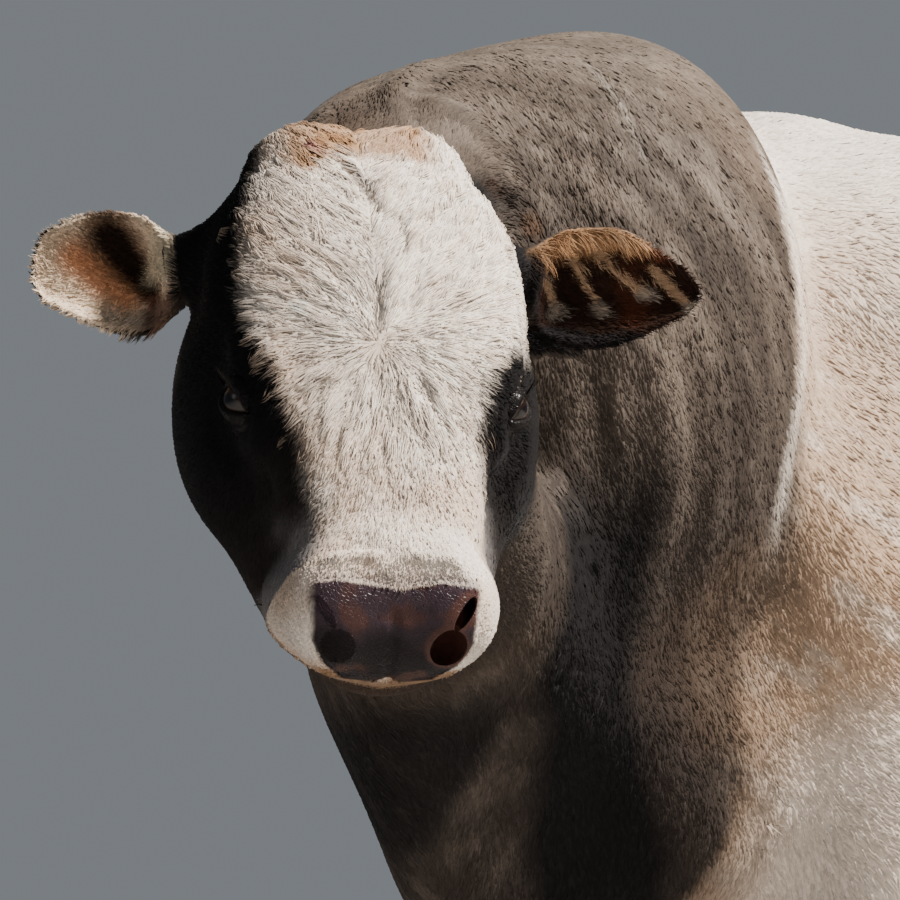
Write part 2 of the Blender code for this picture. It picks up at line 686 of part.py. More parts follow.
def skin_object(body):
    """The whole animal as one closed skin."""
    mesh = body.raw_mesh()
    data = bpy.data.meshes.new("skin")
    mesh.to_mesh(data)
    mesh.free()
    skin = bpy.data.objects.new("skin", data)
    bpy.context.scene.collection.objects.link(skin)
    remesh = skin.modifiers.new("remesh", "REMESH")
    remesh.mode = "VOXEL"
    remesh.voxel_size = VOXEL
    applied(skin)
    put_points(skin.data, body.settle(points_of(skin.data), 3))
    for chosen, rounds in ((near_head, 2), (near_features, 3)):
        subdivide(skin, chosen)
        points = points_of(skin.data)
        near = near_head(points)
        points[near] = body.settle(points[near], rounds, 0.001)
        put_points(skin.data, points)
        relax(skin, near)
        points = points_of(skin.data)
        points[near] = body.settle(points[near], 1, 0.001)
        put_points(skin.data, points)
    mesh = bmesh.new()
    mesh.from_mesh(skin.data)
    bmesh.ops.triangulate(mesh, faces=mesh.faces)
    mesh.to_mesh(skin.data)
    mesh.free()
    thin_out(skin)
    return skin


def thin_out(skin):
    """Fewer triangles in one region after the other: the body, the head, its features."""
    regions = (
        (lambda p: ~near_head(p), BODY_TRIANGLES),
        (lambda p: near_head(p, 0.03) & ~near_features(p), HEAD_TRIANGLES),
        (lambda p: near_features(p, 0.008), FEATURE_TRIANGLES),
    )
    for chosen, kept in regions:
        inside = chosen(points_of(skin.data))
        group = skin.vertex_groups.new(name="region")
        group.add([int(i) for i in np.flatnonzero(inside)], 1.0, "REPLACE")
        corners = np.empty(len(skin.data.polygons) * 3, int)
        skin.data.polygons.foreach_get("vertices", corners)
        total = len(skin.data.polygons)
        count = int(inside[corners.reshape(-1, 3)].all(1).sum())
        step = skin.modifiers.new("fewer", "DECIMATE")
        step.vertex_group = "region"
        step.ratio = (total - count + kept) / total
        applied(skin)
        skin.vertex_groups.clear()


def box_object(name, centre, axes, half):
    """A box, its three half sizes along the rows of axes."""
    signs = [(x, y, z) for x in (-1, 1) for y in (-1, 1) for z in (-1, 1)]
    points = [np.asarray(centre) + (np.array(c) * half) @ np.asarray(axes, float) for c in signs]
    faces = [(0, 1, 3, 2), (4, 6, 7, 5), (0, 4, 5, 1), (2, 3, 7, 6), (0, 2, 6, 4), (1, 5, 7, 3)]
    made = mesh_object(name, points, faces)
    mesh = bmesh.new()
    mesh.from_mesh(made.data)
    bmesh.ops.recalc_face_normals(mesh, faces=mesh.faces)
    mesh.to_mesh(made.data)
    mesh.free()
    made.hide_render = True
    made.display_type = "WIRE"
    return made


def axes_from(normal, side):
    """Three unit rows: side, the third direction, and the normal."""
    normal = unit(normal)
    side = unit(np.asarray(side, float) - normal * (normal @ np.asarray(side, float)))
    return np.array([side, np.cross(normal, side), normal])


def combined(made, others, operation, solver="EXACT"):
    """One Boolean of an object with a collection of closed meshes, which it then removes."""
    group = bpy.data.collections.new("operands")
    bpy.context.scene.collection.children.link(group)
    for other in others:
        group.objects.link(other)
        bpy.context.scene.collection.objects.unlink(other)
    step = made.modifiers.new("boolean", "BOOLEAN")
    step.operation = operation
    step.solver = solver
    step.operand_type = "COLLECTION"
    step.collection = group
    applied(made)
    for other in others:
        bpy.data.objects.remove(other)
    bpy.data.collections.remove(group)


CORONET_SLOPE = 0.22
FEET = {
    "fore_left": (0.198, -0.584, 0.060),
    "fore_right": (-0.198, -0.534, 0.060),
    "hind_left": (0.208, 0.760, 0.060),
    "hind_right": (-0.208, 0.670, 0.060),
}
SWITCH_PLACE = (0.016, 1.012)
EAR_ROOT = np.array([0.058, 0.150, -0.116])
EAR_STUB = unit([0.02, 0.93, -0.36])


def ear_frame(side):
    """The middle of an ear's root and the direction in which the ear leaves the head."""
    flip = np.array([1, side, 1])
    return from_head(*(EAR_ROOT * flip)), (EAR_STUB * flip) @ HEAD_AXES


def cutters():
    """Thin boxes that part the skin."""
    thin = GAP / 2
    across = HEAD_AXES[1]
    behind = unit(np.array([0.5, -0.25, 1.0]) @ HEAD_AXES)
    made = [
        box_object(
            "neck_cut",
            from_head(0.100, 0.04, -0.245),
            axes_from(behind, across),
            (0.34, 0.42, thin),
        ),
        box_object(
            "shoulder_cut", (0.0, -0.625, 1.00), axes_from((0, 1, -0.16), (1, 0, 0)), (0.5, 0.6, thin)
        ),
        box_object("tail_cut", (0.005, 1.03, TAIL_CUT), np.eye(3), (0.06, 0.05, thin)),
        box_object("switch_cut", (*SWITCH_PLACE, SWITCH_CUT), np.eye(3), (0.05, 0.05, thin)),
    ]
    for side in (1, -1):
        fore = (0.215 * side, -0.49, FORELEG_CUT)
        made.append(box_object("foreleg_cut", fore, np.eye(3), (0.11, 0.17, thin)))
        hind = (0.220 * side, 0.730, HINDLEG_CUT)
        made.append(box_object("hindleg_cut", hind, np.eye(3), (0.12, 0.22, thin)))
        root, leaves = ear_frame(side)
        # a deep box: it also takes away the stub beyond the cut, where the ear goes
        middle = root + leaves * 0.024
        axes = axes_from(leaves, (0, 0, 1))
        made.append(box_object("ear_cut", middle, axes, (0.042, 0.042, 0.024)))
    for x, y, z in FEET.values():
        tilt = axes_from((0, CORONET_SLOPE, 1), (1, 0, 0))
        made.append(box_object("coronet_cut", (x, y, z), tilt, (0.10, 0.13, thin)))
    return made


# A point near the middle of each piece that the cuts leave
PIECES = {
    "head": from_head(0.25, 0.0, -0.12),
    "neck": np.array([0.06, -0.88, 1.08]),
    "torso": np.array([0.0, 0.15, 1.02]),
    "foreleg_left": np.array([0.20, -0.51, 0.32]),
    "foreleg_right": np.array([-0.20, -0.50, 0.32]),
    "hindleg_left": np.array([0.21, 0.79, 0.32]),
    "hindleg_right": np.array([-0.21, 0.73, 0.32]),
    "tail": np.array([0.01, 1.02, 0.88]),
}


def loose_parts(made):
    """Sets of face corners, one for each connected part."""
    mesh = bmesh.new()
    mesh.from_mesh(made.data)
    bmesh.ops.remove_doubles(mesh, verts=mesh.verts, dist=0.000001)
    bmesh.ops.triangulate(mesh, faces=mesh.faces)
    left = set(mesh.verts)
    parts = []
    while left:
        start = left.pop()
        found, edge = {start}, [start]
        while edge:
            vert = edge.pop()
            for link in vert.link_edges:
                other = link.other_vert(vert)
                if other in left:
                    left.remove(other)
                    found.add(other)
                    edge.append(other)
        order = {v: i for i, v in enumerate(sorted(found, key=lambda v: v.index))}
        faces = [[order[v] for v in f.verts] for f in mesh.faces if f.verts[0] in found]
        parts.append((np.array([tuple(v.co) for v in order]), faces))
    mesh.free()
    return parts


def volume(points, faces):
    """The volume inside a closed triangle mesh."""
    a, b, c = (points[[f[i] for f in faces]] for i in range(3))
    return float(np.einsum("ij,ij->i", a, np.cross(b, c)).sum() / 6)


def named_pieces(skin):
    made = {}
    for points, faces in sorted(loose_parts(skin), key=lambda part: -len(part[1])):
        if len(faces) < 12:
            continue
        size = volume(points, faces)
        low, high = points.min(0), points.max(0)
        near = {n: np.linalg.norm((low + high) / 2 - p) for n, p in PIECES.items() if n not in made}
        if not near:
            continue
        name = min(near, key=near.get)
        if near[name] > 0.35 or size < 0.0001:
            continue
        made[name] = mesh_object(name, points, faces)
    return made


def largest_surface(made):
    """Keeps only the largest closed surface of an object."""
    parts = loose_parts(made)
    points, faces = max(parts, key=lambda part: abs(volume(*part)))
    mesh = bpy.data.meshes.new(made.name)
    mesh.from_pydata([tuple(p) for p in points], [], faces)
    old, made.data = made.data, mesh
    bpy.data.meshes.remove(old)


def loft(name, rings):
    """A closed solid through rings of equally many points."""
    count = len(rings[0])
    points = [p for ring in rings for p in ring]
    faces = []
    for i in range(len(rings) - 1):
        a, b = i * count, (i + 1) * count
        for k in range(count):
            n = (k + 1) % count
            faces.append((a + k, a + n, b + n, b + k))
    points.append(np.mean(rings[0], axis=0))
    points.append(np.mean(rings[-1], axis=0))
    first, last = len(points) - 2, len(points) - 1
    base = (len(rings) - 1) * count
    for k in range(count):
        n = (k + 1) % count
        faces.append((first, n, k))
        faces.append((last, base + k, base + n))
    made = mesh_object(name, points, faces)
    mesh = bmesh.new()
    mesh.from_mesh(made.data)
    bmesh.ops.recalc_face_normals(mesh, faces=mesh.faces)
    bmesh.ops.triangulate(mesh, faces=mesh.faces)
    mesh.to_mesh(made.data)
    mesh.free()
    return made


# Eyes

def eye_axes(side):
    """Rows: towards the nose, towards the brow, and out of the socket."""
    out = unit([0.28, 0.86, 0.42]) * np.array([1, side, 1])
    nose = np.array([0.90, 0.0, 0.36])
    nose = unit(nose - out * (nose @ out))
    brow = np.cross(out, nose)
    if brow[2] < 0:
        brow = -brow
    return np.array([nose, brow, out]) @ HEAD_AXES


def eye_centre(side):
    return from_head(EYE_PLACE[0], EYE_PLACE[1] * side, EYE_PLACE[2])


def eyeball(name, side, radius):
    """A faceted ball; the socket is the same ball, larger by the gap."""
    axes = eye_axes(side)
    rings = []
    for turn in np.linspace(0, math.pi, 11)[1:-1]:
        ring = []
        for a in np.arange(18) * math.tau / 18:
            place = (math.sin(turn) * math.cos(a), math.sin(turn) * math.sin(a), math.cos(turn))
            ring.append(eye_centre(side) + radius * np.array(place) @ axes)
        rings.append(ring)
    made = loft(name, rings)
    points = points_of(made.data)
    for i, sign in ((-2, 1), (-1, -1)):
        points[i] = eye_centre(side) + radius * sign * axes[2]
    put_points(made.data, points)
    return made


LID = 0.0042


def lid(name, side, upper):
    """A lid: a shell round the eyeball that ends in a curved rim."""
    axes = eye_axes(side)
    centre = eye_centre(side)
    rim_middle, rim_corner = (0.60, -0.04) if upper else (-0.52, -0.10)
    rings = []
    for k in np.linspace(-1, 1, 11):
        lat = k * 1.20
        rim = rim_corner + (rim_middle - rim_corner) * max(0.0, 1 - (k / 0.93) ** 2) ** 0.7
        far = 1.75 if upper else -1.75
        outer = EYE_RADIUS + LID * (1 - 0.25 * k * k)
        loop = []
        for f in (0.0, 0.10, 0.35, 0.70, 1.0):
            lift = outer - (0.0014 if f == 0.0 else 0.0)
            loop.append((rim + (far - rim) * f, lift))
        loop += [(far, 0.010), (rim + (far - rim) * 0.5, 0.010), (rim, 0.010)]
        ring = []
        for angle, r in loop:
            place = np.array(
                [
                    math.sin(lat),
                    math.cos(lat) * math.sin(angle),
                    math.cos(lat) * math.cos(angle),
                ]
            )
            ring.append(centre + r * place @ axes)
        rings.append(ring)
    return loft(name, rings)


# Ears

def edge_at(s, up, skew):
    """How far the ear's edge is widened, at a share of its length, on the upper or lower side."""
    return 1 + skew * (0.45 - s) * (-0.5 if up > 0 else 1.0) * abs(up)


def ear(name, side, along, facing, length, width, point, skew):
    """A cupped leaf on a round root, lofted from the cut plane at the head to the tip.

    point narrows the outer half; skew widens the lower edge near the root, the upper near the tip.
    """
    root, leaves = ear_frame(side)
    facing_axis = unit(np.array(facing) * [1, side, 1]) @ HEAD_AXES
    along_axis = unit(np.array(along) * [1, side, 1]) @ HEAD_AXES
    start = root + leaves * GAP
    thick = 0.0065
    rings = []
    for s in (0.0, 0.06, 0.13, 0.21, 0.30, 0.40, 0.50, 0.60, 0.70, 0.79, 0.87, 0.94, 1.0):
        turn = min(s / 0.25, 1.0)
        direction = unit(leaves * (1 - turn) + along_axis * turn)
        front = facing_axis - direction * (facing_axis @ direction)
        front = unit(front)
        across = np.cross(front, direction)
        if s == 0.0:
            here = start
        else:
            here = here + direction * length * (s - last_s)
        last_s = s
        leaf = width * (math.sin(math.pi * min(1.0, 0.13 + 0.76 * s ** 0.95)) ** 0.65)
        leaf *= 1 - point * (max(s - 0.5, 0.0) / 0.5) ** 1.5
        half = 0.030 * (1 - turn) + leaf * turn
        if s > 0.94:
            half = leaf * 0.55
        deep = 0.030 * (1 - turn) + (0.036 * (1 - s) ** 0.8 + 0.008) * turn
        wall = thick * (1 - 0.45 * s)
        open_by = min(max((s - 0.08) / 0.20, 0.0), 1.0)
        open_by = open_by * open_by * (3 - 2 * open_by)
        ring = []
        angles = np.linspace(-math.pi / 2, math.pi / 2, 9)
        for a in angles:
            uneven = edge_at(s, math.sin(a) * side, skew * turn)
            ring.append(here + across * half * uneven * math.sin(a) - front * deep * math.cos(a))
        for a in angles[::-1][1:-1]:
            bulge = 0.030 * math.cos(a)
            hollow = -(deep - wall) * math.cos(a)
            y = bulge * (1 - open_by) + hollow * open_by
            x = half * math.sin(a) * (1 - 0.10 * open_by) * edge_at(s, math.sin(a) * side, skew * turn)
            ring.append(here + across * x + front * y)
        rings.append(ring)
    return loft(name, rings)


# Hooves

def claw(name, foot, inner):
    """One claw of a cloven hoof, from the coronet plane to its flat sole."""
    x0, y0, z0 = foot
    side = 1 if x0 > 0 else -1
    lean = -side if inner else side
    rings = []
    for h, long, wide, back in (
        (0.0, 0.061, 0.0270, 0.022),
        (0.10, 0.063, 0.0280, 0.021),
        (0.45, 0.058, 0.0280, 0.013),
        (0.80, 0.053, 0.0275, 0.005),
        (1.0, 0.050, 0.0270, 0.000),
    ):
        ring = []
        for a in np.arange(16) * math.tau / 16:
            c, s = math.cos(a), math.sin(a)
            flat = 0.72 if c < 0 else 1.0
            x = x0 + lean * (0.0305 + wide * c * flat * (1 - 0.18 * max(-s, 0) ** 2))
            y = y0 - back + long * s
            top = z0 - GAP - CORONET_SLOPE * (y - y0)
            ring.append(np.array([x, y, top * h]))
        rings.append(ring)
    return loft(name, rings)


# Hair that stands out: the brush of the tail and the clumps of the forehead

def lock(name, line, faces, widths, depths):
    """A flat tapered lock: five-sided rings along a line, wide across, thin along faces."""
    rings = []
    steps = np.gradient(np.asarray(line, float), axis=0)
    for here, step, face, wide, deep in zip(line, steps, faces, widths, depths):
        along = unit(step)
        across = unit(np.cross(along, face))
        up = np.cross(across, along)
        turns = (np.arange(5) + 0.25) * math.tau / 5
        rings.append([here + across * wide * math.cos(a) + up * deep * math.sin(a) for a in turns])
    return loft(name, rings)


def tail_switch(name):
    """The brush of long hair at the end of the tail: a core with locks fused round it."""
    top = np.array([*SWITCH_PLACE, SWITCH_CUT - GAP])
    length = SWITCH_CUT - SWITCH_TIP
    rings = []
    for share, radius in ((0.0, 0.016), (0.10, 0.022), (0.28, 0.030), (0.5, 0.028), (0.72, 0.012)):
        turns = np.arange(10) * math.tau / 10
        drop = [0, 0, -share * length]
        rings.append([top + drop + [radius * math.cos(a), radius * math.sin(a), 0] for a in turns])
    core = loft(name, rings)
    draw = np.random.default_rng(31)
    locks = []
    for i in range(15):
        turn = i * 2.4 + draw.uniform(-0.25, 0.25)
        share = 0.10 + 0.42 * (i / 14) ** 0.9
        reach = draw.uniform(0.34, 0.44) * length * (1.15 - 0.3 * share)
        outward = np.array([math.cos(turn), math.sin(turn), 0.0])
        sideways = np.array([-outward[1], outward[0], 0.0]) * draw.uniform(-0.014, 0.014)
        line = []
        for k, s in enumerate((0.0, 0.3, 0.65, 1.0)):
            off = 0.014 + 0.020 * math.sin(math.pi * min(1.0, 0.15 + 0.75 * s)) - 0.008 * share
            drop = np.array([0, 0, -share * length - reach * s])
            line.append(top + drop + outward * off + sideways * math.sin(2.6 * s))
        widths = np.array([0.60, 1.0, 0.85, 0.12]) * draw.uniform(0.014, 0.017)
        locks.append(lock("lock", line, [outward] * 4, widths, widths * 0.55))
    tips = top[2] - length
    for made in locks:
        points = points_of(made.data)
        points[:, 2] = np.maximum(points[:, 2], tips)
        put_points(made.data, points)
    combined(core, locks, "UNION")
    largest_surface(core)
    return core


WHORL = np.array([0.262, -0.004])
CLUMP_SPACING = 0.044


def lie(t, u):
    """The way the forehead's hair lies: out from the whorl, and apart along the parting above it."""
    away = np.array([t - WHORL[0], u - WHORL[1]])
    far = np.linalg.norm(away)
    side = 1.0 if u > WHORL[1] else -1.0
    if away[0] < 0:
        away = away + np.array([0.0, side * 0.045])
    return away / max(np.linalg.norm(away), 1e-6), far


def forehead_clumps(body):
    """Rounded clumps of the short curly coat, half sunk, that follow the lie of the hair."""
    draw = np.random.default_rng(7)
    made = []
    rows = int(0.42 / (CLUMP_SPACING * 0.82))
    for row in range(rows):
        for column in range(-4, 5):
            t = 0.012 + row * CLUMP_SPACING * 0.82 + draw.uniform(-0.004, 0.004)
            u = (column + 0.5 * (row % 2)) * CLUMP_SPACING * 0.9 + draw.uniform(-0.004, 0.004)
            size = draw.uniform(0.85, 1.15)
            swing = draw.uniform(-0.35, 0.35)
            limit = 0.118 if t < 0.20 else 0.118 - 0.42 * (t - 0.20)
            if abs(u) > limit or t > 0.405:
                continue
            way, far = lie(t, u)
            c, s = math.cos(swing), math.sin(swing)
            way = np.array([way[0] * c - way[1] * s, way[0] * s + way[1] * c])
            long = 0.046 * size * (0.75 if far < 0.05 else 1.0)
            bend = draw.uniform(-0.007, 0.007)
            across = np.array([-way[1], way[0]])
            flat = [
                np.array([t, u]) + way * long * (k - 0.5) + across * bend * math.sin(math.pi * k)
                for k in (0.0, 0.28, 0.68, 1.0)
            ]
            line = body.settle(np.array([from_head(a, b, 0.028) for a, b in flat]), 8)
            faces = body.normals(line)
            lift = np.array([-0.0035, 0.0006, 0.0008, -0.0030])
            line = line + faces * lift[:, None]
            widths = np.array([0.45, 1.0, 0.80, 0.25]) * 0.0135 * size
            depths = np.array([0.0024, 0.0052, 0.0046, 0.0020])
            made.append(lock("clump", line, faces, widths, depths))
    return made


# Colours, roughness
COAT = {
    "head": (0.62, 0.56, 0.48),
    "neck": (0.40, 0.36, 0.33),
    "torso": (0.66, 0.61, 0.54),
    "foreleg": (0.50, 0.46, 0.42),
    "hindleg": (0.52, 0.48, 0.43),
    "tail": (0.55, 0.50, 0.45),
    "tail_switch": (0.03, 0.027, 0.025),
    "ear": (0.50, 0.38, 0.30),
    "eye": (0.02, 0.014, 0.012),
    "claw": (0.035, 0.030, 0.028),
}


def give_material(made):
    kind = next(k for k in sorted(COAT, key=len, reverse=True) if k in made.name)
    material = bpy.data.materials.new(made.name)
    material.use_nodes = True
    surface = material.node_tree.nodes["Principled BSDF"]
    surface.inputs["Base Color"].default_value = (*COAT[kind], 1.0)
    surface.inputs["Roughness"].default_value = 0.15 if kind == "eye" else 0.75
    made.data.materials.clear()
    made.data.materials.append(material)
    for face in made.data.polygons:
        face.use_smooth = True


def main():
    for old in list(bpy.data.objects):
        bpy.data.objects.remove(old)
    body = bull()
    skin = skin_object(body)
    combined(skin, cutters(), "DIFFERENCE")
    nodes = named_pieces(skin)
    bpy.data.objects.remove(skin)
    head = nodes["head"]
    lids = [lid("lid", side, upper) for side in (1, -1) for upper in (True, False)]
    combined(head, lids + forehead_clumps(body), "UNION")
    combined(head, [eyeball("socket", s, EYE_RADIUS + GAP) for s in (1, -1)], "DIFFERENCE")
    largest_surface(head)
    for side, word in ((1, "left"), (-1, "right")):
        nodes[f"eye_{word}"] = eyeball(f"eye_{word}", side, EYE_RADIUS)
    nodes["ear_left"] = ear(
        "ear_left", 1, (0.06, 0.98, 0.02), (0.70, 0.10, 0.66), 0.184, 0.057, 0.45, 0.2
    )
    nodes["ear_right"] = ear(
        "ear_right", -1, (-0.06, 0.97, -0.18), (0.60, -0.10, 0.80), 0.146, 0.056, 0.0, 0.55
    )
    for place, foot in FEET.items():
        for inner, word in ((True, "inner"), (False, "outer")):
            name = f"claw_{place}_{word}"
            nodes[name] = claw(name, foot, inner)
    nodes["tail_switch"] = tail_switch("tail_switch")
    for made in nodes.values():
        put_points(made.data, points_of(made.data) + SHIFT)
        give_material(made)


if __name__ == "__main__":
    main()
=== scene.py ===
import math

import bmesh
import bpy
import numpy as np
from mathutils import Matrix, Vector


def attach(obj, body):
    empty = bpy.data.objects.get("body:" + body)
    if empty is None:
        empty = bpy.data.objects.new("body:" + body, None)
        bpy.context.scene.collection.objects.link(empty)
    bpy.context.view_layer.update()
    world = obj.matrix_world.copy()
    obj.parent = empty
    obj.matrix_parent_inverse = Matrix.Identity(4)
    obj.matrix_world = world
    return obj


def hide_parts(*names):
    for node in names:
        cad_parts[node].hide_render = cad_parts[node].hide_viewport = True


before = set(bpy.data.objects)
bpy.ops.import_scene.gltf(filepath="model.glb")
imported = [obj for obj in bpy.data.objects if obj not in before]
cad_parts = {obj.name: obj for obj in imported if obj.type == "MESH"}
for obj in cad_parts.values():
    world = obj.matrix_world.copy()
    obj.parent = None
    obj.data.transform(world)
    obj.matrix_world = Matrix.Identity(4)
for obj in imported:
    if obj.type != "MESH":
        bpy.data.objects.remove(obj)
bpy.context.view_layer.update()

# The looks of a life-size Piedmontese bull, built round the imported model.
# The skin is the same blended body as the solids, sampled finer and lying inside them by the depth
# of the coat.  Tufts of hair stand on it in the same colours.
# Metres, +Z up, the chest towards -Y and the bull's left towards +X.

# The animal's shape, as in the solids

SHIFT = np.array([-0.038, 0.173, 0.0])
POLL = np.array([0.2293, -1.2019, 1.297])
HEAD_TURN = math.radians(58)
HEAD_DIP = math.radians(57)
HEAD_TILT = math.radians(-0.6)


def unit(v):
    v = np.asarray(v, float)
    return v / np.linalg.norm(v)


def head_axes():
    """Rows: along the face towards the nose, towards the bull's left, and out of the forehead."""
    facing = np.array([math.sin(HEAD_TURN), -math.cos(HEAD_TURN), 0.0])
    left = np.cross([0.0, 0.0, 1.0], facing)
    along = facing * math.cos(HEAD_DIP) - np.array([0.0, 0.0, math.sin(HEAD_DIP)])
    out = np.cross(along, left) * -1.0
    if out @ facing < 0:
        out = -out
    c, s = math.cos(HEAD_TILT), math.sin(HEAD_TILT)
    return np.array([along * c + left * s, left * c - along * s, out])


HEAD_AXES = head_axes()


def from_head(t, u, v):
    """A point given along the face, to the bull's left and out of the forehead, as a world point."""
    return POLL + t * HEAD_AXES[0] + u * HEAD_AXES[1] + v * HEAD_AXES[2]


def in_head(points):
    return (points - POLL) @ HEAD_AXES.T


def swell(blend):
    """How far the rough shapes stand out, so that a blended joint lies inside them."""
    return 0.003 + 0.25 * blend


def smooth_min(a, b, k):
    h = np.clip(1.0 - np.abs(a - b) / k, 0.0, None)
    return np.minimum(a, b) - 0.25 * k * h * h


def smooth_rows(rows, steps):
    """Catmull-Rom interpolation of a table of stations."""
    rows = np.asarray(rows, float)
    padded = np.vstack([2 * rows[0] - rows[1], rows, 2 * rows[-1] - rows[-2]])
    out = []
    for i in range(len(rows) - 1):
        p0, p1, p2, p3 = padded[i : i + 4]
        for s in np.arange(steps) / steps:
            out.append(
                0.5
                * (
                    2 * p1
                    + (p2 - p0) * s
                    + (2 * p0 - 5 * p1 + 4 * p2 - p3) * s * s
                    + (3 * p1 - p0 - 3 * p2 + p3) * s**3
                )
            )
    out.append(rows[-1])
    return np.array(out)


class Ball:
    """An ellipsoid: its centre, three radii, and the axes that they lie along."""

    def __init__(self, centre, radii, blend=0.04, axes=np.eye(3)):
        self.centre = np.asarray(centre, float)
        self.radii = np.asarray(radii, float)
        self.axes = np.asarray(axes, float)
        self.blend = blend

    def box(self):
        half = np.sqrt(((self.axes * self.radii[:, None]) ** 2).sum(0))
        return self.centre - half, self.centre + half

    def distance(self, p):
        q = (p - self.centre) @ self.axes.T / self.radii
        k0 = np.maximum(np.linalg.norm(q, axis=1), 1e-9)
        k1 = np.maximum(np.linalg.norm(q / self.radii, axis=1), 1e-9)
        return k0 * (k0 - 1.0) / k1

    def add_to(self, mesh):
        made = bmesh.ops.create_uvsphere(mesh, u_segments=20, v_segments=12, radius=1.0)
        radii = self.radii + swell(self.blend)
        for vert in made["verts"]:
            vert.co = Vector(self.centre + (np.array(vert.co) * radii) @ self.axes)


class Tube:
    """A tube of rounded sections along a smooth line.

    A station is x, y, z, half width, reach towards the hint side, reach away from it.
    """

    STEPS = 12
    CHUNK = 20000

    def __init__(self, stations, blend=0.04, hint=(0, 0, 1), power=2.2):
        rows = smooth_rows(stations, self.STEPS)
        self.centre, self.size = rows[:, :3], rows[:, 3:6]
        step = np.gradient(self.centre, axis=0)
        self.along = step / np.linalg.norm(step, axis=1)[:, None]
        self.step = np.linalg.norm(step, axis=1)
        hops = np.linalg.norm(np.diff(self.centre, axis=0), axis=1)
        self.length = np.concatenate([[0.0], np.cumsum(hops)])
        across = np.cross(self.along, np.asarray(hint, float))
        self.across = across / np.linalg.norm(across, axis=1)[:, None]
        self.over = np.cross(self.across, self.along)
        self.power, self.blend = power, blend

    def box(self):
        reach = self.size.max(1)[:, None]
        return (self.centre - reach).min(0), (self.centre + reach).max(0)

    def distance(self, p):
        out = np.empty(len(p))
        for first in range(0, len(p), self.CHUNK):
            out[first : first + self.CHUNK] = self.part_distance(p[first : first + self.CHUNK])
        return out

    def part_distance(self, p):
        near = (p**2).sum(1)[:, None] - 2 * p @ self.centre.T + (self.centre**2).sum(1)
        i = near.argmin(1)
        ahead = ((p - self.centre[i]) * self.along[i]).sum(1) / self.step[i]
        last = len(self.centre) - 1
        place = np.clip(i + np.clip(ahead, -0.5, 0.5), 0, last)
        j = np.minimum(place.astype(int), last - 1)
        w = (place - j)[:, None]

        def at(values):
            return values[j] * (1 - w) + values[j + 1] * w

        off = p - at(self.centre)
        size = at(self.size)
        x = np.abs((off * at(self.across)).sum(1))
        y = (off * at(self.over)).sum(1)
        z = (off * at(self.along)).sum(1)
        high = np.where(y > 0, size[:, 1], size[:, 2])
        n = self.power
        ratio = ((x / size[:, 0]) ** n + (np.abs(y) / high) ** n) ** (1 / n)
        r = np.hypot(x, y)
        edge = np.where(ratio > 1e-6, r / np.maximum(ratio, 1e-6), size[:, 0])
        d = r - edge
        walked = self.length[j] * (1 - w[:, 0]) + self.length[j + 1] * w[:, 0]
        past = np.maximum(-walked, walked - self.length[-1])
        past = np.where(place <= 0, -z, np.where(place >= last, z, past))
        return np.hypot(d.clip(0), past.clip(0)) + np.minimum(np.maximum(d, past), 0)

    def add_to(self, mesh):
        count = 20
        rings = []
        size = self.size + swell(self.blend)
        picks = sorted(set(list(range(0, len(self.centre), 3)) + [len(self.centre) - 1]))
        for i in picks:
            ring = []
            for a in np.arange(count) * math.tau / count:
                c, s = math.cos(a), math.sin(a)
                shape = (abs(c) ** self.power + abs(s) ** self.power) ** (-1 / self.power)
                high = size[i, 1] if s > 0 else size[i, 2]
                co = (
                    self.centre[i]
                    + self.across[i] * c * shape * size[i, 0]
                    + self.over[i] * s * shape * high
                )
                ring.append(mesh.verts.new(co))
            rings.append(ring)
        for a, b in zip(rings, rings[1:]):
            for k in range(count):
                mesh.faces.new([a[k], a[(k + 1) % count], b[(k + 1) % count], b[k]])
        mesh.faces.new(rings[0][::-1])
        mesh.faces.new(rings[-1])


class Stroke:
    """A groove, or with a negative depth a ridge, along a line over the surface."""

    def __init__(self, points, width, depth, ends=0.5):
        self.points = np.asarray(points, float)
        self.width, self.depth = width, depth
        self.ends = ends

    def box(self):
        return self.points.min(0), self.points.max(0)

    def depth_at(self, p):
        best = np.full(len(p), 9.0)
        fade = np.ones(len(p))
        total = len(self.points) - 1
        for i, (a, b) in enumerate(zip(self.points, self.points[1:])):
            span = b - a
            s = np.clip(((p - a) @ span) / (span @ span), 0, 1)
            d = np.linalg.norm(p - a - s[:, None] * span, axis=1)
            place = (i + s) / total
            nearer = d < best
            best = np.where(nearer, d, best)
            edge = np.minimum(place, 1 - place) / max(self.ends, 1e-6) * 2
            fade = np.where(nearer, np.clip(edge, 0, 1), fade)
        return self.depth * fade * np.exp(-((best / self.width) ** 2))


MARGIN = 0.05


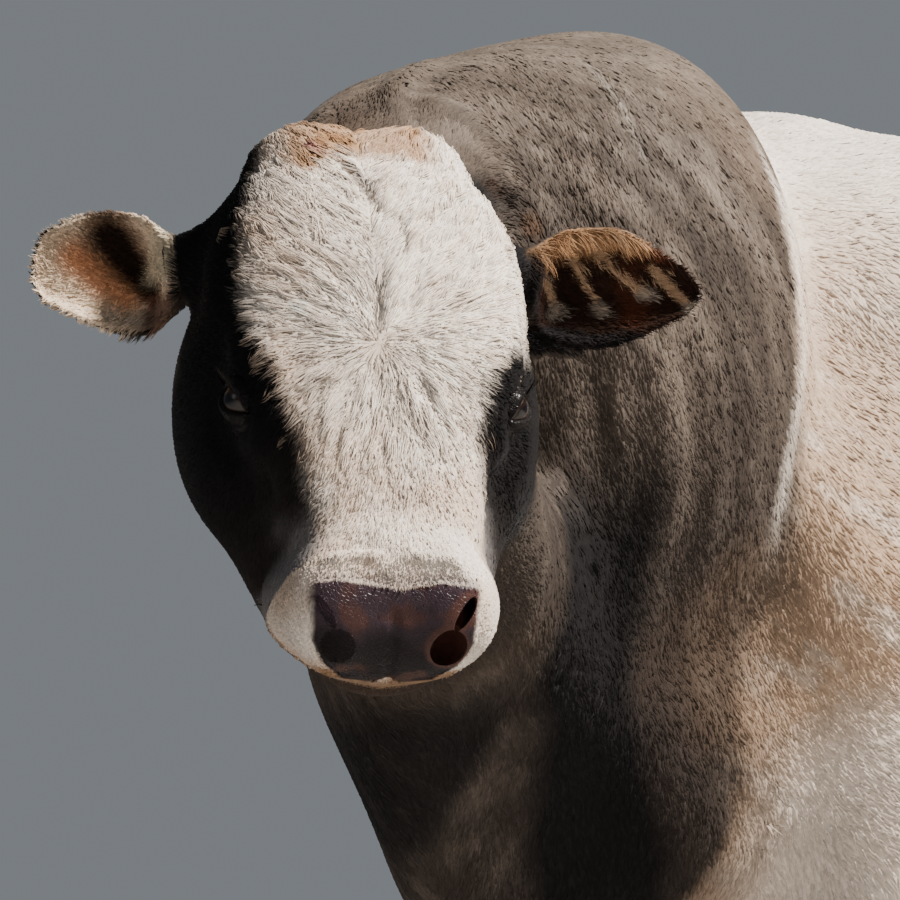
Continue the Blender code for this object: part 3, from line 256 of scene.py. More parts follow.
class Body:
    """Shapes blended in order, shapes taken away, then strokes on what results."""

    def __init__(self):
        self.shapes, self.hollows, self.strokes, self.grooves = [], [], [], []

    def field(self, p):
        d = np.full(len(p), 1.0)
        for shape in self.shapes:
            low, high = shape.box()
            pad = MARGIN + shape.blend
            near = ((p > low - pad) & (p < high + pad)).all(1)
            if near.any():
                d[near] = smooth_min(d[near], shape.distance(p[near]), shape.blend)
        for shape in self.hollows:
            low, high = shape.box()
            pad = 0.02 + shape.blend
            near = ((p > low - pad) & (p < high + pad)).all(1)
            if near.any():
                d[near] = -smooth_min(-d[near], shape.distance(p[near]), shape.blend)
        for stroke in self.strokes:
            low, high = stroke.box()
            pad = 3 * stroke.width
            near = ((p > low - pad) & (p < high + pad)).all(1)
            if near.any():
                d[near] += stroke.depth_at(p[near])
        return d

    def slope(self, p, step=0.002):
        """The field and its slope at each point, from the corners of a small tetrahedron."""
        corners = np.array([[1, 1, 1], [1, -1, -1], [-1, 1, -1], [-1, -1, 1]], float)
        values = [self.field(p + c * step) for c in corners]
        return sum(values) / 4, sum(v[:, None] * c for v, c in zip(values, corners)) / (4 * step)

    def settle(self, p, rounds=4, step=0.002):
        """Moves points on to the blended surface, along its slope."""
        for _ in range(rounds):
            here, slope = self.slope(p, step)
            steep = np.maximum((slope**2).sum(1), 0.2)
            p = p - np.clip(here / steep, -0.03, 0.03)[:, None] * slope
        return p

    def raw_mesh(self):
        mesh = bmesh.new()
        for shape in self.shapes:
            shape.add_to(mesh)
        return mesh


def mirrored(points):
    return [[-row[0], *row[1:]] for row in points]


def both_sides(body, centre, radii, blend=0.04, axes=np.eye(3)):
    """The same muscle on the bull's left and right."""
    flip = np.diag([-1.0, 1.0, 1.0])
    body.shapes.append(Ball(centre, radii, blend, axes))
    body.shapes.append(Ball(flip @ np.asarray(centre, float), radii, blend, axes @ flip))


def tilted(pitch=0.0, yaw=0.0, roll=0.0):
    """Axes turned about X by pitch, Z by yaw and Y by roll, in degrees."""
    turn = (
        Matrix.Rotation(math.radians(yaw), 3, "Z")
        @ Matrix.Rotation(math.radians(pitch), 3, "X")
        @ Matrix.Rotation(math.radians(roll), 3, "Y")
    )
    return np.array(turn).T


def add_trunk(body):
    # y, middle height, half width, reach up, reach down
    rows = [
        (0.945, 1.050, 0.050, 0.080, 0.070),
        (0.90, 1.060, 0.150, 0.170, 0.150),
        (0.80, 1.080, 0.235, 0.255, 0.215),
        (0.62, 1.100, 0.285, 0.300, 0.270),
        (0.42, 1.080, 0.300, 0.325, 0.335),
        (0.18, 1.040, 0.335, 0.360, 0.395),
        (-0.08, 1.010, 0.352, 0.385, 0.425),
        (-0.30, 1.000, 0.322, 0.434, 0.425),
        (-0.45, 1.000, 0.285, 0.461, 0.420),
        (-0.60, 0.970, 0.235, 0.360, 0.400),
        (-0.72, 0.900, 0.175, 0.230, 0.330),
        (-0.80, 0.820, 0.100, 0.120, 0.180),
    ]
    body.shapes.append(
        Tube([(0.0, y, z, w, up, down) for y, z, w, up, down in rows], 0.05, power=2.3)
    )


def add_muscles(body):
    # shoulder blade, upper arm, point of the shoulder, breast
    both_sides(body, (0.170, -0.400, 1.130), (0.152, 0.190, 0.290), 0.07, tilted(-14, 0, 6))
    both_sides(body, (0.222, -0.360, 0.880), (0.128, 0.190, 0.190), 0.06, tilted(24))
    both_sides(body, (0.262, -0.300, 0.930), (0.085, 0.110, 0.170), 0.04, tilted(30))
    both_sides(body, (0.226, -0.470, 0.690), (0.078, 0.088, 0.130), 0.05, tilted(6))
    both_sides(body, (0.185, -0.560, 0.930), (0.120, 0.130, 0.190), 0.10, tilted(16))
    both_sides(body, (0.095, -0.660, 0.720), (0.120, 0.170, 0.150), 0.12)
    # loin, then rump, thigh, buttock, lower thigh, stifle and pin bone
    both_sides(body, (0.130, 0.080, 1.305), (0.135, 0.440, 0.090), 0.07)
    both_sides(body, (0.180, 0.480, 1.230), (0.170, 0.250, 0.170), 0.06, tilted(-8))
    both_sides(body, (0.222, 0.620, 1.060), (0.170, 0.200, 0.275), 0.035, tilted(-12))
    both_sides(body, (0.180, 0.835, 0.985), (0.148, 0.160, 0.250), 0.025, tilted(-6))
    both_sides(body, (0.232, 0.620, 0.860), (0.128, 0.200, 0.200), 0.05, tilted(12))
    both_sides(body, (0.228, 0.690, 0.740), (0.088, 0.115, 0.130), 0.04, tilted(-16))
    both_sides(body, (0.235, 0.420, 0.850), (0.090, 0.120, 0.170), 0.09, tilted(-20))
    both_sides(body, (0.110, 0.860, 1.200), (0.070, 0.070, 0.070), 0.07)
    # sheath and scrotum
    sheath = [
        (0.0, 0.380, 0.740, 0.030, 0.040, 0.030),
        (0.0, 0.240, 0.675, 0.045, 0.050, 0.045),
        (0.0, 0.120, 0.620, 0.050, 0.050, 0.048),
        (0.0, 0.050, 0.588, 0.044, 0.046, 0.040),
        (0.0, 0.010, 0.575, 0.022, 0.030, 0.022),
    ]
    body.shapes.append(Tube(sheath, 0.07))
    sac = [
        (0.0, 0.600, 0.860, 0.060, 0.060, 0.060),
        (0.0, 0.600, 0.760, 0.052, 0.046, 0.048),
        (0.0, 0.598, 0.690, 0.056, 0.050, 0.052),
        (0.0, 0.594, 0.620, 0.070, 0.064, 0.064),
        (0.0, 0.592, 0.560, 0.066, 0.060, 0.060),
        (0.0, 0.592, 0.520, 0.034, 0.032, 0.032),
    ]
    body.shapes.append(Tube(sac, 0.04, hint=(0, -1, 0)))


def add_forelegs(body):
    for side, step in ((1, -0.02), (-1, 0.03)):
        # x, y, z, half width, reach forward, reach back
        rows = [
            (0.218, -0.430, 0.900, 0.100, 0.140, 0.150),
            (0.216, -0.450, 0.740, 0.098, 0.125, 0.130),
            (0.212, -0.470 + step * 0.2, 0.640, 0.087, 0.108, 0.112),
            (0.206, -0.490 + step * 0.4, 0.540, 0.071, 0.084, 0.084),
            (0.200, -0.508 + step * 0.6, 0.450, 0.056, 0.064, 0.060),
            (0.198, -0.518 + step * 0.8, 0.385, 0.057, 0.063, 0.056),
            (0.197, -0.514 + step * 0.9, 0.325, 0.047, 0.049, 0.050),
            (0.196, -0.512 + step, 0.245, 0.038, 0.040, 0.046),
            (0.196, -0.514 + step, 0.180, 0.041, 0.041, 0.050),
            (0.196, -0.519 + step, 0.135, 0.052, 0.050, 0.056),
            (0.197, -0.540 + step, 0.098, 0.050, 0.046, 0.050),
            (0.198, -0.560 + step, 0.062, 0.060, 0.058, 0.062),
            (0.198, -0.572 + step, 0.034, 0.060, 0.062, 0.064),
            (0.198, -0.574 + step, 0.020, 0.050, 0.052, 0.052),
        ]
        rows = rows if side > 0 else mirrored(rows)
        body.shapes.append(Tube(rows, 0.07, hint=(0, -1, 0), power=2.3))
        for off in (-0.028, 0.028):
            centre = (0.196 * side + off, -0.462 + step, 0.118)
            body.shapes.append(Ball(centre, (0.014, 0.020, 0.018), 0.012, tilted(35)))


def add_hindlegs(body):
    for side, step in ((1, 0.05), (-1, -0.04)):
        rows = [
            (0.222, 0.600, 0.920, 0.125, 0.190, 0.200),
            (0.222, 0.640 + step * 0.2, 0.780, 0.108, 0.165, 0.150),
            (0.216, 0.700 + step * 0.5, 0.670, 0.079, 0.112, 0.105),
            (0.210, 0.762 + step * 0.7, 0.575, 0.056, 0.070, 0.082),
            (0.206, 0.792 + step * 0.8, 0.500, 0.054, 0.068, 0.068),
            (0.206, 0.790 + step * 0.9, 0.430, 0.046, 0.058, 0.052),
            (0.206, 0.775 + step, 0.310, 0.039, 0.043, 0.047),
            (0.206, 0.767 + step, 0.210, 0.042, 0.044, 0.050),
            (0.206, 0.758 + step, 0.148, 0.052, 0.051, 0.058),
            (0.207, 0.737 + step, 0.104, 0.049, 0.047, 0.050),
            (0.208, 0.716 + step, 0.064, 0.059, 0.057, 0.062),
            (0.208, 0.704 + step, 0.034, 0.059, 0.061, 0.064),
            (0.208, 0.702 + step, 0.020, 0.049, 0.051, 0.052),
        ]
        rows = rows if side > 0 else mirrored(rows)
        body.shapes.append(Tube(rows, 0.07, hint=(0, -1, 0), power=2.3))
        hock = (0.206 * side, 0.845 + step * 0.8, 0.535)
        body.shapes.append(Ball(hock, (0.030, 0.030, 0.055), 0.03, tilted(-8)))
        for off in (-0.028, 0.028):
            centre = (0.206 * side + off, 0.818 + step, 0.124)
            body.shapes.append(Ball(centre, (0.014, 0.020, 0.018), 0.012, tilted(35)))


def add_neck(body):
    # x, y, z, half width, reach up to the crest, reach down to the throat
    rows = [
        (0.000, -0.425, 1.170, 0.060, 0.130, 0.120),
        (0.000, -0.490, 1.170, 0.120, 0.225, 0.240),
        (0.004, -0.575, 1.170, 0.186, 0.302, 0.330),
        (0.014, -0.655, 1.165, 0.237, 0.340, 0.370),
        (0.030, -0.730, 1.155, 0.264, 0.350, 0.385),
        (0.040, -0.840, 1.142, 0.248, 0.332, 0.370),
        (0.046, -0.935, 1.130, 0.204, 0.310, 0.330),
        (0.064, -1.020, 1.115, 0.160, 0.284, 0.270),
        (0.098, -1.085, 1.098, 0.132, 0.244, 0.210),
        (0.145, -1.125, 1.082, 0.104, 0.186, 0.160),
        (0.180, -1.145, 1.076, 0.055, 0.090, 0.090),
    ]
    body.shapes.append(Tube(rows, 0.022, power=2.2))
    under = [
        (0.235, -1.150, 1.030, 0.060, 0.060, 0.070),
        (0.200, -1.110, 0.990, 0.105, 0.090, 0.095),
        (0.140, -1.030, 0.925, 0.135, 0.120, 0.115),
        (0.075, -0.930, 0.860, 0.160, 0.150, 0.135),
        (0.025, -0.810, 0.810, 0.185, 0.170, 0.150),
        (0.000, -0.670, 0.790, 0.195, 0.180, 0.150),
        (0.000, -0.520, 0.790, 0.150, 0.150, 0.120),
    ]
    body.shapes.append(Tube(under, 0.08))
    keel = [
        (0.225, -1.165, 0.985, 0.030, 0.050, 0.040),
        (0.172, -1.105, 0.930, 0.052, 0.100, 0.085),
        (0.092, -1.020, 0.830, 0.060, 0.130, 0.100),
        (0.038, -0.936, 0.733, 0.066, 0.150, 0.100),
        (0.008, -0.852, 0.648, 0.076, 0.150, 0.105),
        (0.000, -0.760, 0.590, 0.085, 0.140, 0.095),
        (0.000, -0.620, 0.590, 0.080, 0.100, 0.070),
        (0.000, -0.480, 0.610, 0.060, 0.080, 0.050),
    ]
    body.shapes.append(Tube(keel, 0.10))


def head_ball(body, t, u, v, radii, blend=0.02, dip=0.0, yaw=0.0):
    """A ball of the head; one off the middle line is made on both sides.

    Its radii lie along the face, across it and out of it, turned by dip about the cross axis.
    """
    for side in (1, -1) if u else (1,):
        c, s = math.cos(math.radians(dip)), math.sin(math.radians(dip))
        cy, sy = math.cos(math.radians(yaw) * side), math.sin(math.radians(yaw) * side)
        pitch = np.array([[c, 0, s], [0, 1, 0], [-s, 0, c]])
        swing = np.array([[cy, sy, 0], [-sy, cy, 0], [0, 0, 1]])
        axes = pitch @ swing @ HEAD_AXES
        body.shapes.append(Ball(from_head(t, u * side, v), radii, blend, axes))


def head_tube(body, rows, blend, power):
    """A tube whose stations are given along the face, across it and out of it."""
    world = [(*from_head(t, u, v), w, up, down) for t, u, v, w, up, down in rows]
    body.shapes.append(Tube(world, blend, hint=HEAD_AXES[2], power=power))


def add_head(body):
    # along the face, across, out of it, half width, reach out, reach in
    skull = [
        (-0.040, 0.0, -0.085, 0.040, 0.030, 0.030),
        (-0.012, 0.0, -0.080, 0.092, 0.062, 0.065),
        (0.040, 0.0, -0.075, 0.126, 0.084, 0.085),
        (0.100, 0.0, -0.072, 0.144, 0.098, 0.100),
        (0.170, 0.0, -0.072, 0.148, 0.102, 0.105),
        (0.235, 0.0, -0.074, 0.135, 0.096, 0.100),
        (0.300, 0.0, -0.078, 0.110, 0.084, 0.085),
        (0.370, 0.0, -0.082, 0.094, 0.070, 0.070),
        (0.430, 0.0, -0.086, 0.084, 0.060, 0.058),
        (0.485, 0.0, -0.090, 0.074, 0.050, 0.050),
        (0.510, 0.0, -0.092, 0.050, 0.030, 0.030),
    ]
    head_tube(body, skull, 0.03, 2.6)
    jaw = [
        (0.010, 0.0, -0.170, 0.085, 0.050, 0.050),
        (0.070, 0.0, -0.176, 0.130, 0.074, 0.074),
        (0.140, 0.0, -0.184, 0.152, 0.090, 0.086),
        (0.220, 0.0, -0.180, 0.156, 0.090, 0.080),
        (0.300, 0.0, -0.168, 0.140, 0.080, 0.066),
        (0.370, 0.0, -0.156, 0.118, 0.064, 0.050),
        (0.440, 0.0, -0.146, 0.096, 0.050, 0.038),
        (0.485, 0.0, -0.142, 0.066, 0.036, 0.028),
        (0.500, 0.0, -0.140, 0.040, 0.020, 0.016),
    ]
    head_tube(body, jaw, 0.055, 2.4)
    # cheek, poll, brow and orbit
    head_ball(body, 0.205, 0.114, -0.150, (0.125, 0.052, 0.088), 0.03, dip=12)
    head_ball(body, -0.005, 0.045, -0.045, (0.040, 0.055, 0.045), 0.03)
    head_ball(body, 0.276, 0.093, -0.052, (0.056, 0.030, 0.042), 0.025)
    head_ball(body, 0.238, 0.095, -0.022, (0.045, 0.026, 0.018), 0.03, yaw=10)
    # muzzle: its pad, the lip beside each nostril, the chin
    head_ball(body, 0.474, 0.0, -0.084, (0.048, 0.090, 0.070), 0.02, dip=38)
    head_ball(body, 0.486, 0.052, -0.076, (0.040, 0.042, 0.050), 0.02, dip=38)
    head_ball(body, 0.452, 0.067, -0.112, (0.046, 0.037, 0.042), 0.02, dip=20)
    head_ball(body, 0.484, 0.0, -0.148, (0.036, 0.056, 0.030), 0.012)
    for side in (1, -1):
        root = [
            (0.070, 0.080, -0.092, 0.060, 0.060, 0.060),
            (0.062, 0.122, -0.106, 0.045, 0.045, 0.045),
            (0.058, 0.150, -0.116, 0.034, 0.034, 0.035),
            (0.056, 0.170, -0.124, 0.029, 0.029, 0.029),
        ]
        head_tube(body, [(t, u * side, v, w, a, b) for t, u, v, w, a, b in root], 0.03, 2.0)


EYE_RADIUS = 0.0205
EYE_PLACE = (0.278, 0.117, -0.048)
NOSTRIL_PLACE = (0.517, 0.046, -0.076)


def add_face_details(body):
    for side in (1, -1):
        def at(t, u, v):
            return from_head(t, u * side, v)

        # each nostril is round and deep by the nose, with a slit that runs out and up from it
        tilt = np.array([[0.80, 0.15 * side, 0.58], [-0.10, side, 0.0], [-0.58, 0.0, 0.80]])
        tilt = np.array([unit(row) for row in tilt]) @ HEAD_AXES
        t, u, v = NOSTRIL_PLACE
        body.hollows.append(Ball(at(t, u, v), (0.023, 0.017, 0.020), 0.008, tilt))
        wing = np.array([[0.46, -0.52 * side, -0.72], [0.60, 0.80 * side, 0.0], [0.65, 0.0, 0.76]])
        wing = np.array([unit(row) for row in wing]) @ HEAD_AXES
        body.hollows.append(Ball(at(0.502, 0.058, -0.053), (0.021, 0.0085, 0.015), 0.008, wing))
        # the orbit opens round the eyeball
        place = at(*EYE_PLACE) + 0.020 * eye_axes(side)[2]
        body.hollows.append(Ball(place, (0.031, 0.025, 0.015), 0.010, eye_axes(side)))
        # mouth line and the fold above the upper lip
        lip = [(0.512, 0.0, -0.128), (0.508, 0.035, -0.128), (0.492, 0.066, -0.128)]
        lip += [(0.465, 0.084, -0.126), (0.430, 0.090, -0.122), (0.395, 0.090, -0.122)]
        body.grooves.append(([at(*p) for p in lip], 0.005, 0.009))
        # fold below the eye and over it
        low = [(0.308, 0.117, -0.078), (0.283, 0.121, -0.086), (0.253, 0.121, -0.080)]
        body.grooves.append(([at(*p) for p in low], 0.009, 0.004))
        high = [(0.308, 0.105, -0.016), (0.276, 0.115, -0.006), (0.244, 0.119, -0.012)]
        body.grooves.append(([at(*p) for p in high], 0.009, 0.004))


def add_grooves(body):
    """Muscle edges: each line is laid on the surface, then sunk into it."""
    for side in (1, -1):
        lines = [
            # between the thigh muscles, behind the shoulder blade, then over and along the upper arm
            ([(0.40, 0.74, 1.22), (0.40, 0.745, 1.05), (0.40, 0.71, 0.86)], 0.018, 0.016),
            ([(0.40, 0.50, 1.20), (0.42, 0.48, 1.02), (0.40, 0.46, 0.86)], 0.026, 0.012),
            ([(0.40, 0.64, 1.18), (0.42, 0.64, 1.04), (0.40, 0.62, 0.90)], 0.016, 0.007),
            ([(0.30, -0.20, 1.32), (0.40, -0.20, 1.12), (0.40, -0.17, 0.86)], 0.032, 0.014),
            ([(0.40, -0.54, 1.06), (0.40, -0.44, 1.03), (0.40, -0.26, 1.06)], 0.022, 0.012),
            ([(0.40, -0.40, 1.02), (0.40, -0.37, 0.92), (0.40, -0.36, 0.80)], 0.018, 0.008),
            ([(0.32, -0.56, 0.80), (0.34, -0.46, 0.77), (0.34, -0.34, 0.77)], 0.020, 0.010),
        ]
        for line, width, depth in lines:
            body.grooves.append(([(x * side, y, z) for x, y, z in line], width, depth))


def add_tail(body):
    rows = [
        (0.000, 0.720, 1.290, 0.050, 0.050, 0.050),
        (0.000, 0.850, 1.312, 0.048, 0.046, 0.050),
        (0.000, 0.945, 1.282, 0.040, 0.038, 0.040),
        (0.003, 1.005, 1.190, 0.031, 0.031, 0.032),
        (0.006, 1.028, 1.060, 0.026, 0.026, 0.027),
        (0.010, 1.026, 0.900, 0.022, 0.022, 0.022),
        (0.014, 1.016, 0.740, 0.018, 0.018, 0.018),
        (0.016, 1.010, 0.620, 0.015, 0.015, 0.015),
    ]
    body.shapes.append(Tube(rows, 0.03, hint=(0, 1, 0.3)))


def mesh_object(name, points, faces):
    mesh = bpy.data.meshes.new(name)
    mesh.from_pydata([tuple(p) for p in points], [], faces)
    mesh.validate()
    made = bpy.data.objects.new(name, mesh)
    bpy.context.scene.collection.objects.link(made)
    return made


def applied(made):
    """Swaps an object's mesh for the one that its modifiers make."""
    graph = bpy.context.evaluated_depsgraph_get()
    mesh = bpy.data.meshes.new_from_object(made.evaluated_get(graph))
    made.modifiers.clear()
    old, made.data = made.data, mesh
    bpy.data.meshes.remove(old)


def points_of(mesh):
    flat = np.empty(len(mesh.vertices) * 3)
    mesh.vertices.foreach_get("co", flat)
    return flat.reshape(-1, 3)


def put_points(mesh, points):
    mesh.vertices.foreach_set("co", points.astype(np.float32).ravel())
    mesh.update()


def subdivide(made, chosen):
    """Halves the edges whose two ends are chosen."""
    mesh = bmesh.new()
    mesh.from_mesh(made.data)
    points = np.array([v.co for v in mesh.verts])
    keep = chosen(points)
    edges = [e for e in mesh.edges if keep[e.verts[0].index] and keep[e.verts[1].index]]
    bmesh.ops.subdivide_edges(mesh, edges=edges, cuts=1, use_grid_fill=True)
    bmesh.ops.triangulate(mesh, faces=[f for f in mesh.faces if len(f.verts) > 4])
    mesh.to_mesh(made.data)
    mesh.free()


def relax(made, chosen):
    """Evens out the spacing of the chosen vertices."""
    mesh = bmesh.new()
    mesh.from_mesh(made.data)
    verts = [v for v, near in zip(mesh.verts, chosen) if near]
    for _ in range(2):
        bmesh.ops.smooth_vert(
            mesh, verts=verts, factor=0.5, use_axis_x=True, use_axis_y=True, use_axis_z=True
        )
    mesh.to_mesh(made.data)
    mesh.free()


def combined(made, others, operation, solver="EXACT"):
    """One Boolean of an object with a collection of closed meshes, which it then removes."""
    group = bpy.data.collections.new("operands")
    bpy.context.scene.collection.children.link(group)
    for other in others:
        group.objects.link(other)
        bpy.context.scene.collection.objects.unlink(other)
    step = made.modifiers.new("boolean", "BOOLEAN")
    step.operation = operation
    step.solver = solver
    step.operand_type = "COLLECTION"
    step.collection = group
    applied(made)
    for other in others:
        bpy.data.objects.remove(other)
    bpy.data.collections.remove(group)


CORONET_SLOPE = 0.22
FEET = {
    "fore_left": (0.198, -0.584, 0.060),
    "fore_right": (-0.198, -0.534, 0.060),
    "hind_left": (0.208, 0.760, 0.060),
    "hind_right": (-0.208, 0.670, 0.060),
}
SWITCH_PLACE = (0.016, 1.012)
EAR_ROOT = np.array([0.058, 0.150, -0.116])
EAR_STUB = unit([0.02, 0.93, -0.36])


def ear_frame(side):
    """The middle of an ear's root and the direction in which the ear leaves the head."""
    flip = np.array([1, side, 1])
    return from_head(*(EAR_ROOT * flip)), (EAR_STUB * flip) @ HEAD_AXES


def loft(name, rings):
    """A closed solid through rings of equally many points."""
    count = len(rings[0])
    points = [p for ring in rings for p in ring]
    faces = []
    for i in range(len(rings) - 1):
        a, b = i * count, (i + 1) * count
        for k in range(count):
            n = (k + 1) % count
            faces.append((a + k, a + n, b + n, b + k))
    points.append(np.mean(rings[0], axis=0))
    points.append(np.mean(rings[-1], axis=0))
    first, last = len(points) - 2, len(points) - 1
    base = (len(rings) - 1) * count
    for k in range(count):
        n = (k + 1) % count
        faces.append((first, n, k))
        faces.append((last, base + k, base + n))
    made = mesh_object(name, points, faces)
    mesh = bmesh.new()
    mesh.from_mesh(made.data)
    bmesh.ops.recalc_face_normals(mesh, faces=mesh.faces)
    bmesh.ops.triangulate(mesh, faces=mesh.faces)
    mesh.to_mesh(made.data)
    mesh.free()
    return made


def eye_axes(side):
    """Rows: towards the nose, towards the brow, and out of the socket."""
    out = unit([0.28, 0.86, 0.42]) * np.array([1, side, 1])
    nose = np.array([0.90, 0.0, 0.36])
    nose = unit(nose - out * (nose @ out))
    brow = np.cross(out, nose)
    if brow[2] < 0:
        brow = -brow
    return np.array([nose, brow, out]) @ HEAD_AXES


def eye_centre(side):
    return from_head(EYE_PLACE[0], EYE_PLACE[1] * side, EYE_PLACE[2])


WHORL = np.array([0.262, -0.004])

# Small helpers


def smoothstep(low, high, x):
    s = np.clip((np.asarray(x, float) - low) / (high - low), 0, 1)
    return s * s * (3 - 2 * s)


def mix(a, b, share):
    share = np.asarray(share, float)[:, None]
    return a * (1 - share) + np.asarray(b, float) * share


def waves(points, scale, seed, octaves=3):
    """Smooth noise from sums of sines in random directions, about -1 to 1."""
    draw = np.random.default_rng(seed)
    total = np.zeros(len(points))
    for octave in range(octaves):
        for _ in range(5):
            way = unit(draw.normal(size=3)) * scale * 2**octave
            total += np.sin(points @ way + draw.uniform(0, math.tau)) * 0.5**octave
    return total / 3.2


def streaks(points, along, seed, fine=95.0, coarse=9.0):
    """Noise drawn out along one direction, as in hair that lies that way."""
    along = unit(along)
    stretched = points * fine - (points @ along)[:, None] * along * (fine - coarse)
    return waves(stretched, 1.0, seed, 3)


def row_units(rows):
    return rows / np.maximum(np.linalg.norm(rows, axis=1), 1e-9)[:, None]


def line_distance(points, line):
    """How far each point is from a line of points."""
    best = np.full(len(points), 9.0)
    line = np.asarray(line, float)
    for a, b in zip(line, line[1:]):
        span = b - a
        s = np.clip(((points - a) @ span) / (span @ span), 0, 1)
        best = np.minimum(best, np.linalg.norm(points - a - s[:, None] * span, axis=1))
    return best


def array_mesh(name, points, triangles, uvs=None, colours=None, smooth=True):
    """An object from arrays; uvs and colours are given for each vertex."""
    mesh = bpy.data.meshes.new(name)
    mesh.vertices.add(len(points))
    mesh.vertices.foreach_set("co", points.astype(np.float32).ravel())
    mesh.loops.add(len(triangles) * 3)
    mesh.loops.foreach_set("vertex_index", triangles.astype(np.int32).ravel())
    mesh.polygons.add(len(triangles))
    mesh.polygons.foreach_set("loop_start", np.arange(0, len(triangles) * 3, 3, dtype=np.int32))
    mesh.polygons.foreach_set("use_smooth", np.full(len(triangles), smooth))
    mesh.update(calc_edges=True)
    if uvs is not None:
        layer = mesh.uv_layers.new(name="OFBake")
        layer.data.foreach_set("uv", uvs[triangles.ravel()].astype(np.float32).ravel())
    if colours is not None:
        put_colours(mesh, colours)
    made = bpy.data.objects.new(name, mesh)
    bpy.context.scene.collection.objects.link(made)
    return made


def put_colours(mesh, colours):
    """Stores a colour for each vertex under the name coat."""
    layer = mesh.attributes.get("coat") or mesh.attributes.new("coat", "FLOAT_COLOR", "POINT")
    rgba = np.ones((len(colours), 4), np.float32)
    rgba[:, :3] = colours
    layer.data.foreach_set("color", rgba.ravel())


def put_values(mesh, name, values):
    layer = mesh.attributes.get(name) or mesh.attributes.new(name, "FLOAT", "POINT")
    layer.data.foreach_set("value", values.astype(np.float32))


# Folds and ridges that only the skin shows, as lines with a width and a depth


